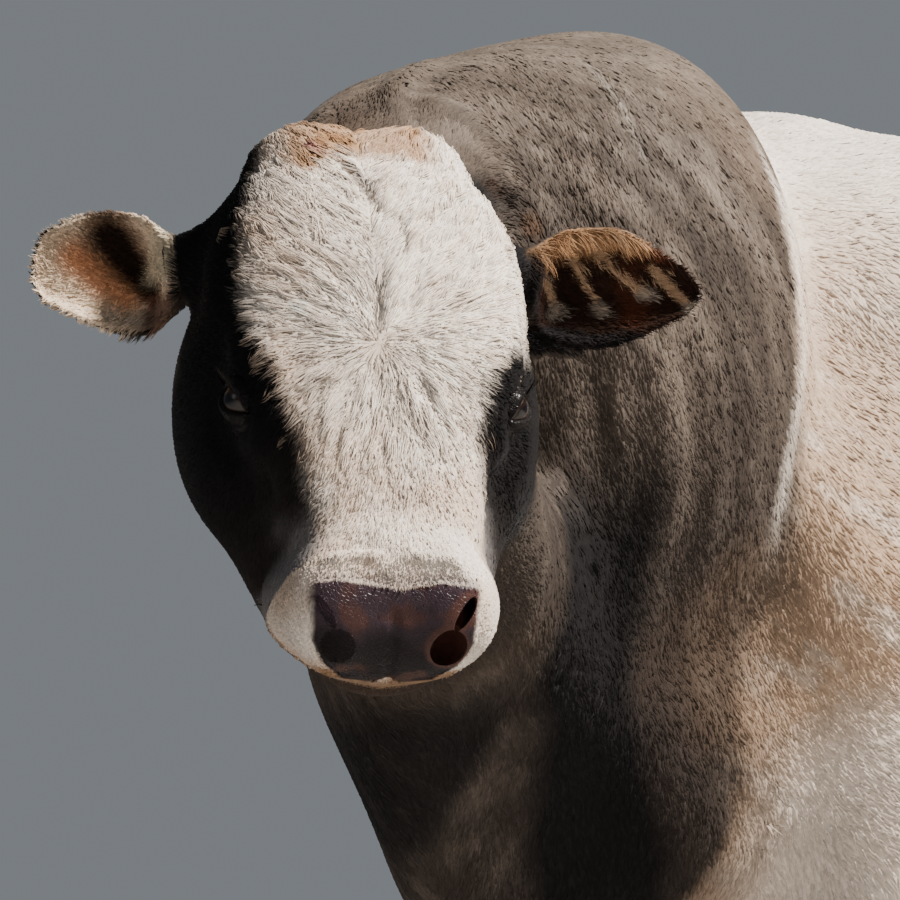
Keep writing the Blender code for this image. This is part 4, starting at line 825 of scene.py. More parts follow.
def add_folds(body):
    # creases of the crest, long folds down the neck, the fold behind the neck, the shoulder
    world = [
        ([(0.162, -1.085, 1.341), (0.124, -1.036, 1.395), (0.069, -0.934, 1.452)], 0.009, 0.006),
        ([(0.140, -1.094, 1.341), (0.104, -1.046, 1.395), (0.050, -0.950, 1.452)], 0.012, -0.006),
        ([(0.162, -0.864, 1.441), (0.216, -0.862, 1.389), (0.251, -0.862, 1.327)], 0.007, 0.005),
        ([(0.162, -0.848, 1.441), (0.216, -0.846, 1.389), (0.251, -0.846, 1.327)], 0.010, -0.004),
        ([(0.224, -0.950, 1.131), (0.214, -0.965, 1.050), (0.250, -1.010, 0.940)], 0.014, 0.006),
        ([(0.242, -0.922, 1.132), (0.227, -0.912, 1.040), (0.225, -0.930, 0.940)], 0.014, 0.006),
        ([(0.263, -0.888, 1.133), (0.261, -0.872, 1.040), (0.229, -0.881, 0.880)], 0.016, 0.007),
        ([(0.284, -0.841, 1.150), (0.275, -0.805, 1.010), (0.216, -0.813, 0.813)], 0.016, 0.006),
        ([(0.293, -0.780, 1.125), (0.275, -0.748, 0.990), (0.220, -0.746, 0.805)], 0.016, 0.005),
        ([(0.187, -0.983, 0.800), (0.150, -0.950, 0.710), (0.110, -0.925, 0.640)], 0.014, 0.006),
        ([(0.299, -0.564, 1.064), (0.306, -0.588, 1.000), (0.313, -0.583, 0.939)], 0.016, 0.003),
        ([(0.220, -0.747, 0.775), (0.219, -0.717, 0.716), (0.213, -0.606, 0.625)], 0.018, 0.004),
        ([(0.198, -1.030, 1.287), (0.204, -1.008, 1.276), (0.212, -0.986, 1.258)], 0.006, 0.005),
    ]
    body.grooves += world
    body.grooves += [(mirrored(line), width, depth) for line, width, depth in world[4:12]]
    # wavy ridges of the forehead's coat, beside the parting and out from the whorl
    draw = np.random.default_rng(17)
    lines = [
        ([(0.004, -0.019), (0.040, -0.018), (0.075, -0.009), (0.110, 0.000), (0.143, 0.009)], 0.0055),
        ([(0.130, 0.008), (0.165, 0.003), (0.200, -0.001), (0.235, -0.006), (0.258, -0.008)], 0.0050),
        ([(0.068, -0.050), (0.068, -0.031), (0.078, -0.014)], 0.0045),
        ([(0.110, 0.014), (0.150, 0.020), (0.190, 0.012)], 0.0040),
    ]
    for turn in np.linspace(0, math.tau, 27)[:-1]:
        reach = draw.uniform(0.060, 0.110) * (1.0 if math.cos(turn) > 0 else 1.25)
        begin = draw.uniform(0.018, 0.040)
        bow = draw.uniform(-0.010, 0.010)
        line = []
        for s in np.linspace(0, 1, 4):
            far = begin + reach * s
            sway = bow * math.sin(math.pi * s) + 0.003 * math.sin(7 * s + turn)
            t = WHORL[0] + far * math.cos(turn) - sway * math.sin(turn)
            u = WHORL[1] + 0.85 * far * math.sin(turn) + sway * math.cos(turn)
            line.append((t, u))
        lines.append((line, draw.uniform(0.0020, 0.0034)))
    for line, depth in lines:
        for off, sign in ((0.0, 1), (0.0085, -0.8)):
            placed = [from_head(t, u + off, 0.02) for t, u in line if t < 0.43 and abs(u) < 0.13]
            if len(placed) > 2:
                body.grooves.append((placed, 0.0046, depth * sign))
    for side in (1, -1):
        # wrinkles above the pad, beside the mouth, above the eye and below it; the pad's middle
        details = [
            ([(0.470, 0.066, -0.030), (0.466, 0.035, -0.024), (0.468, 0.004, -0.022)], 0.0060, -0.0040),
            ([(0.484, 0.066, -0.036), (0.484, 0.035, -0.030), (0.487, 0.004, -0.030)], 0.0055, 0.0032),
            ([(0.415, 0.085, -0.105), (0.425, 0.092, -0.120), (0.420, 0.093, -0.140)], 0.006, 0.004),
            ([(0.395, 0.088, -0.100), (0.402, 0.096, -0.120), (0.396, 0.098, -0.142)], 0.006, 0.003),
            ([(0.305, 0.098, -0.008), (0.280, 0.108, 0.002), (0.252, 0.114, -0.002)], 0.006, 0.0035),
            ([(0.318, 0.110, -0.088), (0.288, 0.120, -0.100), (0.255, 0.123, -0.094)], 0.007, 0.003),
            ([(0.330, 0.104, -0.066), (0.348, 0.096, -0.070), (0.372, 0.090, -0.076)], 0.008, 0.004),
        ]
        for line, width, depth in details:
            placed = [from_head(t, u * side, v) for t, u, v in line]
            body.grooves.append((placed, width, depth))
        # the raised rim round each nostril
        t, u, v = NOSTRIL_PLACE
        rim = []
        for a in np.linspace(-0.4, 4.4, 8):
            place = (t - 0.014 * math.sin(a) - 0.004, (u + 0.0240 * math.cos(a)) * side)
            rim.append(from_head(*place, v + 0.024 * math.sin(a)))
        body.grooves.append((rim, 0.0045, -0.0028))
    middle = [from_head(0.505, 0.0, -0.045), from_head(0.522, 0.0, -0.075), from_head(0.524, 0.0, -0.118)]
    body.grooves.append((middle, 0.0040, 0.0042))


# Places on the animal

BEHIND = unit([0.5, -0.25, 1.0])


def head_share(points):
    """1 on the head, falling to 0 on the neck behind the poll, the ears' roots and the jaw."""
    q = in_head(points)
    ahead = (q - [0.100, 0.04, -0.235]) @ BEHIND
    side = smoothstep(0.20, 0.165, np.abs(q[:, 1]))
    return smoothstep(-0.022, 0.022, ahead) * side * (q[:, 0] < 0.62)


def edge_at(s, up, skew):
    """How far the ear's edge is widened, at a share of its length, on the upper or lower side."""
    return 1 + skew * (0.45 - s) * (-0.5 if up > 0 else 1.0) * abs(up)


def ear_places(points, side):
    """For each point: how far along the ear, how far across and in front, in ear lengths and widths."""
    along, facing, length, width = EARS[side][:4]
    root, leaves = ear_frame(side)
    along_axis = unit(np.array(along) * [1, side, 1]) @ HEAD_AXES
    facing_axis = unit(np.array(facing) * [1, side, 1]) @ HEAD_AXES
    front = unit(facing_axis - along_axis * (facing_axis @ along_axis))
    off = points - root - leaves * 0.006
    across = np.cross(front, along_axis) * side
    return off @ along_axis / length, off @ across / width, off @ front / width, front


def ear_share(points):
    share = np.zeros(len(points))
    for side in (1, -1):
        s, a, f, _ = ear_places(points, side)
        on = smoothstep(0.02, 0.09, s) * (s < 1.12) * (np.abs(a) < 1.25) * (np.abs(f) < 1.15)
        share = np.maximum(share, on)
    return share


def nose_pad(points):
    """1 on the bare nose between and round the nostrils."""
    t, u, v = in_head(points).T
    wide = np.interp(-v, [0.030, 0.070, 0.090, 0.112, 0.128], [0.073, 0.070, 0.060, 0.046, 0.036])
    side = smoothstep(0.003, -0.003, np.abs(u) - wide - 0.0015 * waves(points, 160.0, 8, 2))
    edge = 0.489 + 0.004 * (1 - (np.abs(u) / 0.066).clip(0, 1) ** 2) - 0.25 * (v + 0.040)
    top = smoothstep(-0.003, 0.003, t - edge + 0.0012 * waves(points, 170.0, 9, 2))
    foot = smoothstep(-0.123, -0.118, v - 0.007 * np.exp(-((u / 0.009) ** 2)))
    return np.maximum(side * top * foot, smoothstep(-0.004, -0.001, pit_wall(points)))


def pit_wall(points):
    """How far inside the nostrils' hollows a point lies; negative outside them."""
    t, u, v = in_head(points).T
    near = np.flatnonzero((t > 0.46) & (np.abs(u) < 0.10) & (v > -0.14) & (v < 0))
    wall = np.full(len(points), -1.0)
    if len(near):
        wall[near] = -np.min([hole.distance(points[near]) for hole in NOSTRILS], axis=0)
    return wall


def lips(points):
    """1 on the thin bare band along the mouth."""
    t, _, v = in_head(points).T
    return smoothstep(-0.1165, -0.1205, v) * smoothstep(-0.141, -0.136, v) * smoothstep(0.455, 0.475, t)


def eye_rim(points):
    near = np.zeros(len(points))
    for side in (1, -1):
        far = np.linalg.norm(points - eye_centre(side), axis=1)
        near = np.maximum(near, smoothstep(EYE_RADIUS + 0.0100, EYE_RADIUS + 0.0055, far))
    return near


def bare(points):
    return np.clip(nose_pad(points) + lips(points) + eye_rim(points), 0, 1)


# Markings

CREAM = np.array([0.54, 0.390, 0.285])
WHITE = np.array([0.88, 0.765, 0.665])
TAUPE = np.array([0.092, 0.071, 0.057])
DARK_TAUPE = np.array([0.028, 0.021, 0.018])
TAN = np.array([0.50, 0.315, 0.185])
BROWN = np.array([0.110, 0.062, 0.038])
BLACK_COAT = np.array([0.008, 0.007, 0.0075])
NOSE = np.array([0.0075, 0.0040, 0.0045])
NOSE_TOP_SHEEN = np.array([0.040, 0.024, 0.031])
LEG = np.array([0.36, 0.305, 0.26])
# lines of painted highlight: the neck's lit rear edge and a crease of the crest
RIM_HIGHLIGHT_LINE = [
    (0.232, -0.683, 1.386), (0.253, -0.676, 1.341), (0.267, -0.662, 1.286), (0.278, -0.658, 1.224),
    (0.282, -0.655, 1.169), (0.284, -0.664, 1.107), (0.281, -0.677, 1.046), (0.269, -0.684, 0.976),
    (0.255, -0.684, 0.927),
]
CREASE_HIGHLIGHT_LINE = [(0.162, -0.856, 1.441), (0.216, -0.854, 1.389), (0.251, -0.854, 1.327)]


# middle line of the near-black neck band, which is partly dark coat and partly painted shade
DARK_AND_SHADE_BAND_Z = [0.60, 0.69, 0.79, 0.86, 0.93, 1.02, 1.10]
DARK_AND_SHADE_BAND_Y = [-0.79, -0.833, -0.888, -0.900, -0.906, -0.875, -0.860]


def legs_share(z):
    return smoothstep(0.60, 0.36, z)


def body_markings(points):
    """Trunk, neck, legs and tail."""
    x, y, z = points.T
    broad = waves(points, 6.0, 3)
    patch = waves(points, 13.0, 14)
    fine = waves(points, 46.0, 4)
    lying = streaks(points, (0, 0.9, -0.45), 31)
    hanging = streaks(points, (0, 0.32, -0.95), 33, 80.0, 7.0)
    # trunk: cream, lighter on the back, tan on the shoulder and flank, darker below
    colour = mix(np.tile(CREAM, (len(points), 1)), WHITE, smoothstep(1.15, 1.42, z + 0.05 * broad))
    colour = mix(colour, TAN, 0.42 * smoothstep(0.05, 1.0, patch + 0.5 * broad) * smoothstep(1.38, 1.1, z))
    colour = mix(colour, WHITE, 0.45 * smoothstep(0.2, 1.1, lying))
    colour = mix(colour, LEG, 0.45 * smoothstep(0.70, 0.50, z + 0.03 * broad))
    # pale coat at the point of the shoulder, lightened further as painted highlight
    point = np.hypot((y + 0.54) / 0.12, (z - 0.68) / 0.15)
    colour = mix(colour, WHITE, 0.75 * smoothstep(1.3, 0.5, point + 0.15 * patch))
    # neck: taupe grey with light and dark streaks, darker below, tan brown in places
    edge = y + 0.665 - 0.085 * smoothstep(1.30, 1.43, z) + 0.040 * smoothstep(0.93, 0.70, z)
    edge = edge + 0.010 * fine + 0.016 * patch * smoothstep(0.95, 0.80, z)
    neck = smoothstep(0.020, -0.016, edge)
    # between them, low down, a brown shade that fades into the shoulder
    brown = smoothstep(0.115, -0.01, edge) * smoothstep(1.00, 0.84, z) * (1 - legs_share(z))
    colour = mix(colour, [0.185, 0.125, 0.087], 0.85 * brown)
    tone = np.tile(TAUPE, (len(points), 1))
    # the lower neck darkens: partly dark coat, partly painted shade under the neck's bulge
    low = smoothstep(1.20, 0.86, z + 0.05 * broad)
    tone = mix(tone, DARK_TAUPE, 0.60 * low)
    thin = streaks(points, (0, 0.32, -0.95), 35, 230.0, 16.0)
    tone = mix(tone, [0.235, 0.185, 0.150], 0.45 * smoothstep(0.10, 1.0, hanging) * (1 - 0.6 * low))
    tone = mix(tone, [0.255, 0.205, 0.165], 0.35 * smoothstep(0.20, 1.0, thin) * (1 - 0.5 * low))
    tone = mix(tone, DARK_TAUPE, 0.45 * smoothstep(-0.10, -0.95, hanging))
    tone = mix(tone, DARK_TAUPE, 0.35 * smoothstep(-0.20, -1.0, thin))
    tone = mix(tone, [0.20, 0.12, 0.07], 0.20 * smoothstep(0.2, 1.0, patch))
    crest = smoothstep(1.32, 1.45, z)
    tone = mix(tone, [0.165, 0.132, 0.106], 0.55 * crest)
    # partly dark coat and partly painted shade: near black down the side of the neck, from behind the cheek
    # to the chest, and along the throat, where shade falls under the head and neck
    middle = np.interp(z, DARK_AND_SHADE_BAND_Z, DARK_AND_SHADE_BAND_Y) + 0.008 * fine
    tone = mix(tone, DARK_TAUPE, 0.75 * smoothstep(0.15, 0.06, np.abs(y - middle - 0.03)) * low)
    dark_and_shade_band = smoothstep(0.078, 0.040, np.abs(y - middle)) * smoothstep(1.08, 0.94, z)
    throat = smoothstep(-0.965, -1.00, y) * smoothstep(0.815, 0.755, z)
    tone = mix(tone, BLACK_COAT, 0.97 * np.maximum(dark_and_shade_band, 0.9 * throat))
    colour = mix(colour, tone, neck)
    # painted highlight: a thin white line along the neck's rear edge, and a fainter one along the crest's
    # crease, where light catches the hair
    rim = np.exp(-((line_distance(points, RIM_HIGHLIGHT_LINE) / 0.0085) ** 2))
    rim = rim * (0.80 + 0.20 * fine) * smoothstep(0.92, 1.02, z) * smoothstep(1.395, 1.33, z)
    rim = np.maximum(rim, 0.20 * np.exp(-((line_distance(points, CREASE_HIGHLIGHT_LINE) / 0.0040) ** 2)))
    colour = mix(colour, WHITE, 0.85 * rim)
    # brown notches beside the root of the left ear
    for place, size in (((0.201, -1.013, 1.280), 0.010), ((0.217, -0.977, 1.254), 0.013)):
        off = np.linalg.norm(points - np.array(place), axis=1)
        colour = mix(colour, BROWN, 0.75 * smoothstep(size * 1.5, size * 0.5, off))
    # legs: greyer downwards, dark above the hoof; the tail's lower end turns dark
    legs = legs_share(z)
    colour = mix(colour, LEG, 0.60 * legs)
    colour = mix(colour, DARK_TAUPE, 0.45 * smoothstep(0.42, 0.12, z + 0.03 * patch))
    colour = mix(colour, BLACK_COAT, 0.80 * smoothstep(0.125, 0.075, z + 0.01 * fine))
    return mix(colour, BLACK_COAT, smoothstep(0.80, 0.68, z + 0.02 * fine) * (y > 0.95) * (np.abs(x) < 0.07))


FACE_AT = [-0.05, 0.02, 0.07, 0.11, 0.20, 0.24, 0.283, 0.323, 0.362, 0.40, 0.445, 0.462, 0.475]
WHITE_LEFT = [0.10, 0.115, 0.130, 0.150, 0.140, 0.120, 0.088, 0.078, 0.084, 0.105, 0.115, 0.120, 0.20]
WHITE_RIGHT = [0.09, 0.092, 0.100, 0.118, 0.112, 0.104, 0.090, 0.076, 0.066, 0.058, 0.058, 0.070, 0.20]


def face_markings(points):
    t, u, v = in_head(points).T
    broad = waves(points, 15.0, 5)
    fine = waves(points, 46.0, 6)
    count = len(points)
    # dark sides, blackest round the eye and up the temple, greyer on the jaw
    face = mix(np.tile(BLACK_COAT, (count, 1)), DARK_TAUPE, smoothstep(0.30, 0.44, t + 0.02 * broad))
    face = mix(face, TAUPE, 0.7 * smoothstep(-0.17, -0.23, v))
    face = mix(face, [0.33, 0.30, 0.29], 0.60 * smoothstep(0.36, 0.46, t + 0.03 * fine))
    # white face inside its edge, and the ring round the muzzle
    edge = np.where(u > 0, np.interp(t, FACE_AT, WHITE_LEFT), np.interp(t, FACE_AT, WHITE_RIGHT))
    inside = smoothstep(0.012, -0.010, np.abs(u) - edge + 0.004 * fine)
    inside = inside * np.maximum(smoothstep(-0.105, -0.060, v), smoothstep(0.445, 0.470, t))
    away = np.hypot(t - WHORL[0], u - WHORL[1])
    turn = np.arctan2(u - WHORL[1], t - WHORL[0])
    rays = np.sin(turn * 19 + 30 * away) + 0.7 * np.sin(turn * 41 - 22 * away) + 0.5 * fine
    tan_rays = smoothstep(0.5, 1.8, rays) * smoothstep(0.03, 0.08, away)
    white = mix(np.tile(WHITE, (count, 1)), TAN, 0.20 * tan_rays)
    white = mix(white, [0.60, 0.50, 0.43], 0.30 * smoothstep(-0.6, -1.8, rays))
    white = mix(white, [0.62, 0.43, 0.31], 0.50 * smoothstep(0.30, 0.40, t) * smoothstep(-0.6, 0.8, fine))
    # painted shade: the white face turns darker and warmer towards the bull's right side
    white = mix(white, [0.60, 0.40, 0.27], 0.45 * smoothstep(-0.02, -0.09, u) * smoothstep(-0.8, 0.8, fine))
    white = mix(white, TAN, 0.40 * np.exp(-((away / 0.010) ** 2)))
    slit = np.minimum(np.abs(u + 0.019 - 0.30 * (t - 0.02).clip(0, 0.09)), 9)
    slit = np.exp(-((slit / 0.0028) ** 2)) * smoothstep(-0.01, 0.02, t) * smoothstep(0.150, 0.130, t)
    low = np.abs(u + 0.002 + 0.06 * (t - 0.14))
    low = np.exp(-((low / 0.0024) ** 2)) * smoothstep(0.14, 0.16, t) * smoothstep(0.262, 0.245, t)
    white = mix(white, [0.16, 0.12, 0.11], 0.60 * np.maximum(slit, low) * smoothstep(-0.6, 0.4, fine))
    poll = smoothstep(0.052, 0.018, t + 0.018 * fine) * smoothstep(0.080, 0.052, np.abs(u + 0.004))
    poll = poll * (0.82 + 0.18 * smoothstep(-0.5, 0.6, waves(points, 80.0, 29)))
    white = mix(white, [0.40, 0.210, 0.095], 0.95 * poll)
    scar = np.hypot(t - 0.015, u + 0.041)
    white = mix(white, [0.10, 0.045, 0.040], smoothstep(0.0125, 0.0095, scar))
    white = mix(white, [0.42, 0.19, 0.16], smoothstep(0.0075, 0.0050, scar))
    bridge = np.exp(-(((t - 0.455) / 0.012) ** 2)) * smoothstep(0.055, 0.02, np.abs(u))
    white = mix(white, TAN, 0.60 * bridge * smoothstep(-0.5, 0.5, fine))
    fold = np.exp(-(((t - 0.486 + 0.25 * (v + 0.035)) / 0.0060) ** 2)) * smoothstep(0.078, 0.070, np.abs(u))
    white = mix(white, [0.34, 0.28, 0.26], 0.65 * fold * (v > -0.07))
    face = mix(face, white, inside)
    for side in (1, -1):
        place = in_head(eye_centre(side)[None])[0]
        off = (np.array([t, u, v]).T - place) / [0.058, 0.040, 0.045]
        black = smoothstep(1.25, 0.85, np.linalg.norm(off, axis=1) + 0.08 * fine)
        face = mix(face, BLACK_COAT, black)
    lip = smoothstep(-0.103, -0.110, v) * smoothstep(0.47, 0.49, t) * smoothstep(0.072, 0.055, np.abs(u))
    lip = lip * (1 - 0.85 * np.exp(-(((u + 0.003) / 0.006) ** 2)) * smoothstep(-0.128, -0.118, v))
    face = mix(face, [0.28, 0.155, 0.075], 0.92 * lip)
    chin = smoothstep(-0.134, -0.144, v) * smoothstep(0.44, 0.47, t)
    return mix(face, [0.045, 0.032, 0.026], 0.95 * chin)


# light locks inside the bull's left ear, as start and end along and across it
LIGHT_LOCKS = (
    ((0.30, 0.45), (0.47, -0.42)),
    ((0.42, 0.55), (0.70, -0.10)),
    ((0.72, 0.35), (0.94, -0.30)),
    ((0.17, 0.10), (0.25, -0.50)),
)


def ear_line(s, a, start, end):
    """Distance from a line on the ear, in ear lengths, and the share of the way along it."""
    place = np.stack([s, a * 0.38], 1)
    start = np.array([start[0], start[1] * 0.38])
    way = np.array([end[0], end[1] * 0.38]) - start
    share = ((place - start) @ way / (way @ way)).clip(0, 1)
    return np.linalg.norm(place - start - share[:, None] * way, axis=1), share


def ear_markings(points, normals, side):
    s, a, _, front = ear_places(points, side)
    fine = waves(points, 60.0, 15)
    inner = smoothstep(-0.05, 0.25, normals @ front)
    count = len(points)
    if side < 0:
        outer = np.tile(DARK_TAUPE, (count, 1))
        colour = np.tile([0.84, 0.65, 0.48], (count, 1))
        stripe, _ = ear_line(s, a, (0.68, 0.24), (0.38, -0.34))
        colour = mix(colour, [0.74, 0.31, 0.135], 0.85 * smoothstep(0.20, 0.03, stripe + 0.03 * fine))
        # painted shade: the ear's hollow darkens to near black along its deepest line
        hollow, share = ear_line(s, a, (0.47, 0.60), (0.24, -0.28))
        wide = 0.135 - 0.070 * share
        colour = mix(colour, [0.16, 0.075, 0.035], 0.8 * smoothstep(1.8, 0.9, hollow / wide + 0.2 * fine))
        colour = mix(colour, [0.026, 0.013, 0.008], smoothstep(1.15, 0.5, hollow / wide + 0.15 * fine))
        lobe = smoothstep(-0.30, -0.50, a) * smoothstep(0.32, 0.22, s)
        colour = mix(colour, [0.11, 0.030, 0.014], 0.8 * lobe)
        root = smoothstep(0.28, 0.20, s + 0.10 * (a - 0.2)) * smoothstep(-0.35, 0.0, a)
        colour = mix(colour, [0.80, 0.66, 0.46], 0.90 * root)
        colour = mix(colour, BLACK_COAT, 0.9 * smoothstep(0.93, 0.99, np.abs(a)) * (s > 0.2))
    else:
        outer = mix(np.tile(TAUPE, (count, 1)), BLACK_COAT, smoothstep(0.2, -0.4, a) * 0.9)
        colour = np.tile([0.030, 0.014, 0.009], (count, 1))
        red = waves(points, 45.0, 19)
        colour = mix(colour, [0.095, 0.028, 0.012], 0.8 * smoothstep(-0.2, 0.7, red))
        top = a + 0.10 * fine - 0.95 * (s - 0.25).clip(0)
        colour = mix(colour, [0.44, 0.245, 0.125], 0.90 * smoothstep(0.18, 0.50, top))
        root = smoothstep(0.20, 0.08, s + 0.05 * fine)
        colour = mix(colour, BLACK_COAT, 0.8 * root * smoothstep(0.6, 0.2, a))
        for start, end in LIGHT_LOCKS:
            off, share = ear_line(s, a, start, end)
            colour = mix(colour, [0.56, 0.37, 0.23], 0.90 * smoothstep(0.034, 0.012, off + 0.008 * fine))
            puff = np.hypot((s - end[0]) / 0.060, (a - end[1]) / 0.15)
            colour = mix(colour, [0.44, 0.38, 0.32], 0.7 * smoothstep(1.2, 0.5, puff))
        colour = mix(colour, BLACK_COAT, 0.95 * smoothstep(-0.70, -0.82, a + 0.05 * fine))
        colour = mix(colour, BLACK_COAT, 0.7 * smoothstep(0.86, 0.97, a))
    colour = mix(outer, colour, inner)
    return mix(colour, BLACK_COAT, 0.85 * (1 - inner) * smoothstep(0.80, 0.98, np.abs(a)))


def pits(points):
    """1 deep inside the nostrils."""
    wall = pit_wall(points)
    near = np.flatnonzero(wall > -0.03)
    deep = np.zeros(len(points))
    deep[near] = -FACE_PLAIN.field(points[near])
    return smoothstep(0.0020, 0.0065, deep) * smoothstep(-0.006, -0.003, wall), wall


def plain_face():
    """The head without its openings, and the balls that open the nostrils, two on each side."""
    body = Body()
    add_head(body)
    holes = []
    for side in (1, -1):
        tilt = np.array([[0.80, 0.15 * side, 0.58], [-0.10, side, 0.0], [-0.58, 0.0, 0.80]])
        wing = np.array([[0.46, -0.52 * side, -0.72], [0.60, 0.80 * side, 0.0], [0.65, 0.0, 0.76]])
        for place, radii, axes in (
            ((0.520, 0.0465 * side, -0.0765), (0.028, 0.0165, 0.0190), tilt),
            ((0.508, 0.0580 * side, -0.0520), (0.020, 0.0070, 0.0140), wing),
        ):
            axes = np.array([unit(row) for row in axes]) @ HEAD_AXES
            holes.append(Ball(from_head(*place), radii, 0.0, axes))
    return body, holes


def nostril_cutters():
    """The same balls as closed meshes, to cut the skin with."""
    made = []
    for hole in NOSTRILS:
        mesh = bmesh.new()
        bmesh.ops.create_icosphere(mesh, subdivisions=4, radius=1.0)
        for vert in mesh.verts:
            vert.co = Vector(hole.centre + (np.array(vert.co) * hole.radii) @ hole.axes)
        data = bpy.data.meshes.new("cutter")
        mesh.to_mesh(data)
        mesh.free()
        cutter = bpy.data.objects.new("cutter", data)
        bpy.context.scene.collection.objects.link(cutter)
        made.append(cutter)
    return made


FACE_PLAIN, NOSTRILS = plain_face()


def markings(points, normals):
    """The coat's colour at each point, given in the design frame."""
    colour = body_markings(points)
    _, u, v = in_head(points).T
    share = head_share(points)
    near = np.flatnonzero(share > 0)
    q = in_head(points[near])
    # the face keeps its colours on the front; behind the brow and the cheek the neck's tone begins
    front = np.maximum(smoothstep(-0.150, -0.110, q[:, 2]), smoothstep(0.14, 0.20, q[:, 0]))
    front = front * smoothstep(-0.055, -0.030, q[:, 0] - 0.25 * (q[:, 2] + 0.03).clip(None, 0))
    colour[near] = mix(colour[near], face_markings(points[near]), share[near] * front)
    for side in (1, -1):
        s, a, f, _ = ear_places(points, side)
        on = smoothstep(0.02, 0.12, s) * (s < 1.12) * (np.abs(a) < 1.25) * (np.abs(f) < 1.15)
        near = np.flatnonzero(on > 0)
        colour[near] = mix(colour[near], ear_markings(points[near], normals[near], side), on[near])
    # bare skin
    pad = nose_pad(points)
    mottle = waves(points, 120.0, 18)
    # painted reflection: the pad's upper part is a lighter purple grey, standing in for a reflection of the
    # sky
    nose = mix(np.tile(NOSE, (len(points), 1)), NOSE_TOP_SHEEN, smoothstep(-0.085, -0.045, v + 0.008 * mottle))
    nose = mix(nose, [0.075, 0.030, 0.020], 0.6 * smoothstep(0.2, 0.9, mottle))
    # painted light and shade in the nostrils: the pink-brown inner wall shows only in the bull's left
    # nostril, as if lit; its slit and the whole right nostril are near-black painted shade
    pit, wall = pits(points)
    nose = mix(nose, [0.085, 0.036, 0.027], 0.80 * smoothstep(-0.006, -0.001, wall) * (u > 0))
    slit = smoothstep(-0.064, -0.056, v)
    inside = np.tile([0.0015, 0.001, 0.001], (len(points), 1))
    inside = mix(inside, [0.075, 0.029, 0.022], (u > 0) * (1 - slit))
    nose = mix(nose, inside, pit)
    colour = mix(colour, nose, pad)
    colour = mix(colour, [0.21, 0.125, 0.070], 0.9 * lips(points) * (1 - pad))
    return mix(colour, [0.010, 0.008, 0.008], eye_rim(points))


# The way the hair lies


def lies(points, normals):
    """Unit vectors in the surface along the lie of the hair."""
    x, y, z = points.T
    back = np.tile([0.0, 1.0, -0.50], (len(points), 1))
    neck = np.tile([0.0, 0.42, -1.0], (len(points), 1))
    way = mix(back, neck, smoothstep(-0.50, -0.75, y))
    way = mix(way, [0.0, 0.12, -1.0], smoothstep(0.72, 0.55, z))
    way = mix(way, [0.0, 0.1, -1.0], (y > 0.975) & (np.abs(x) < 0.07))
    whorl = from_head(WHORL[0], WHORL[1], 0.02)
    out = row_units(points - whorl)
    t, u, _ = in_head(points).T
    spread = smoothstep(0.0, 0.10, WHORL[0] - t) * np.exp(-((u / 0.045) ** 2)) * np.sign(u + 0.004)
    out = out + spread[:, None] * HEAD_AXES[1] * 0.9
    way = mix(way, out, head_share(points))
    for side in (1, -1):
        s, a, f, front = ear_places(points, side)
        on = smoothstep(0.02, 0.10, s) * (s < 1.12) * (np.abs(a) < 1.25) * (np.abs(f) < 1.15)
        axis = unit(np.array(EARS[side][0]) * [1, side, 1]) @ HEAD_AXES
        across = np.cross(front, axis) * side
        way = mix(way, axis + a[:, None] * across * 0.6, on)
    swirl = np.array([waves(points, 12.0, k, 2) for k in (11, 12, 13)]).T
    wisp = np.array([waves(points, 75.0, k, 1) for k in (41, 42, 43)]).T
    way = way + swirl * 0.20 + wisp * 0.16
    way = way - normals * (way * normals).sum(1)[:, None]
    return row_units(way)


# Skin

SKIN_VOXEL = 0.0088


def coat_depth(points):
    """How far the skin lies under the coat's outer face."""
    depth = 0.0045 - 0.0018 * head_share(points)
    depth = depth * (1 - 0.6 * smoothstep(0.60, 0.30, points[:, 2]))
    return depth * (1 - bare(points)) + 0.0003


def settled(body, points, rounds, step):
    """Moves points to the skin's level, under the body's surface by the coat's depth."""
    here, slope = body.slope(points, step)
    steep = np.maximum((slope**2).sum(1), 0.2)
    for k in range(rounds):
        if k:
            here = body.field(points)
        push = (here + coat_depth(points)) / steep
        points = points - np.clip(push, -0.03, 0.03)[:, None] * slope
    return points


def lay_grooves(body):
    """Lays the lines of all grooves on the surface in one go, and keeps them as strokes."""
    fine = [smooth_rows(line, 4) for line, _, _ in body.grooves]
    placed = body.settle(np.concatenate(fine), 14)
    placed = np.split(placed, np.cumsum([len(rows) for rows in fine])[:-1])
    for points, (_, width, depth) in zip(placed, body.grooves):
        body.strokes.append(Stroke(points, width, depth))


def near_detail(points):
    """Round the eyes and the nose, where the skin is finest."""
    q = in_head(points)
    eye = np.linalg.norm(q * [1, 0, 1] + [0, 1, 0] * np.abs(q) - EYE_PLACE, axis=1)
    return (eye < 0.050) | ((q[:, 0] > 0.445) & (q[:, 2] > -0.20) & (np.abs(q[:, 1]) < 0.2))


def near_face(points):
    t, u, v = in_head(points).T
    back = -0.26 - 0.3 * (t - 0.1).clip(0)
    return (t > -0.07) & (t < 0.62) & (v > back) & (np.abs(u) < 0.20)


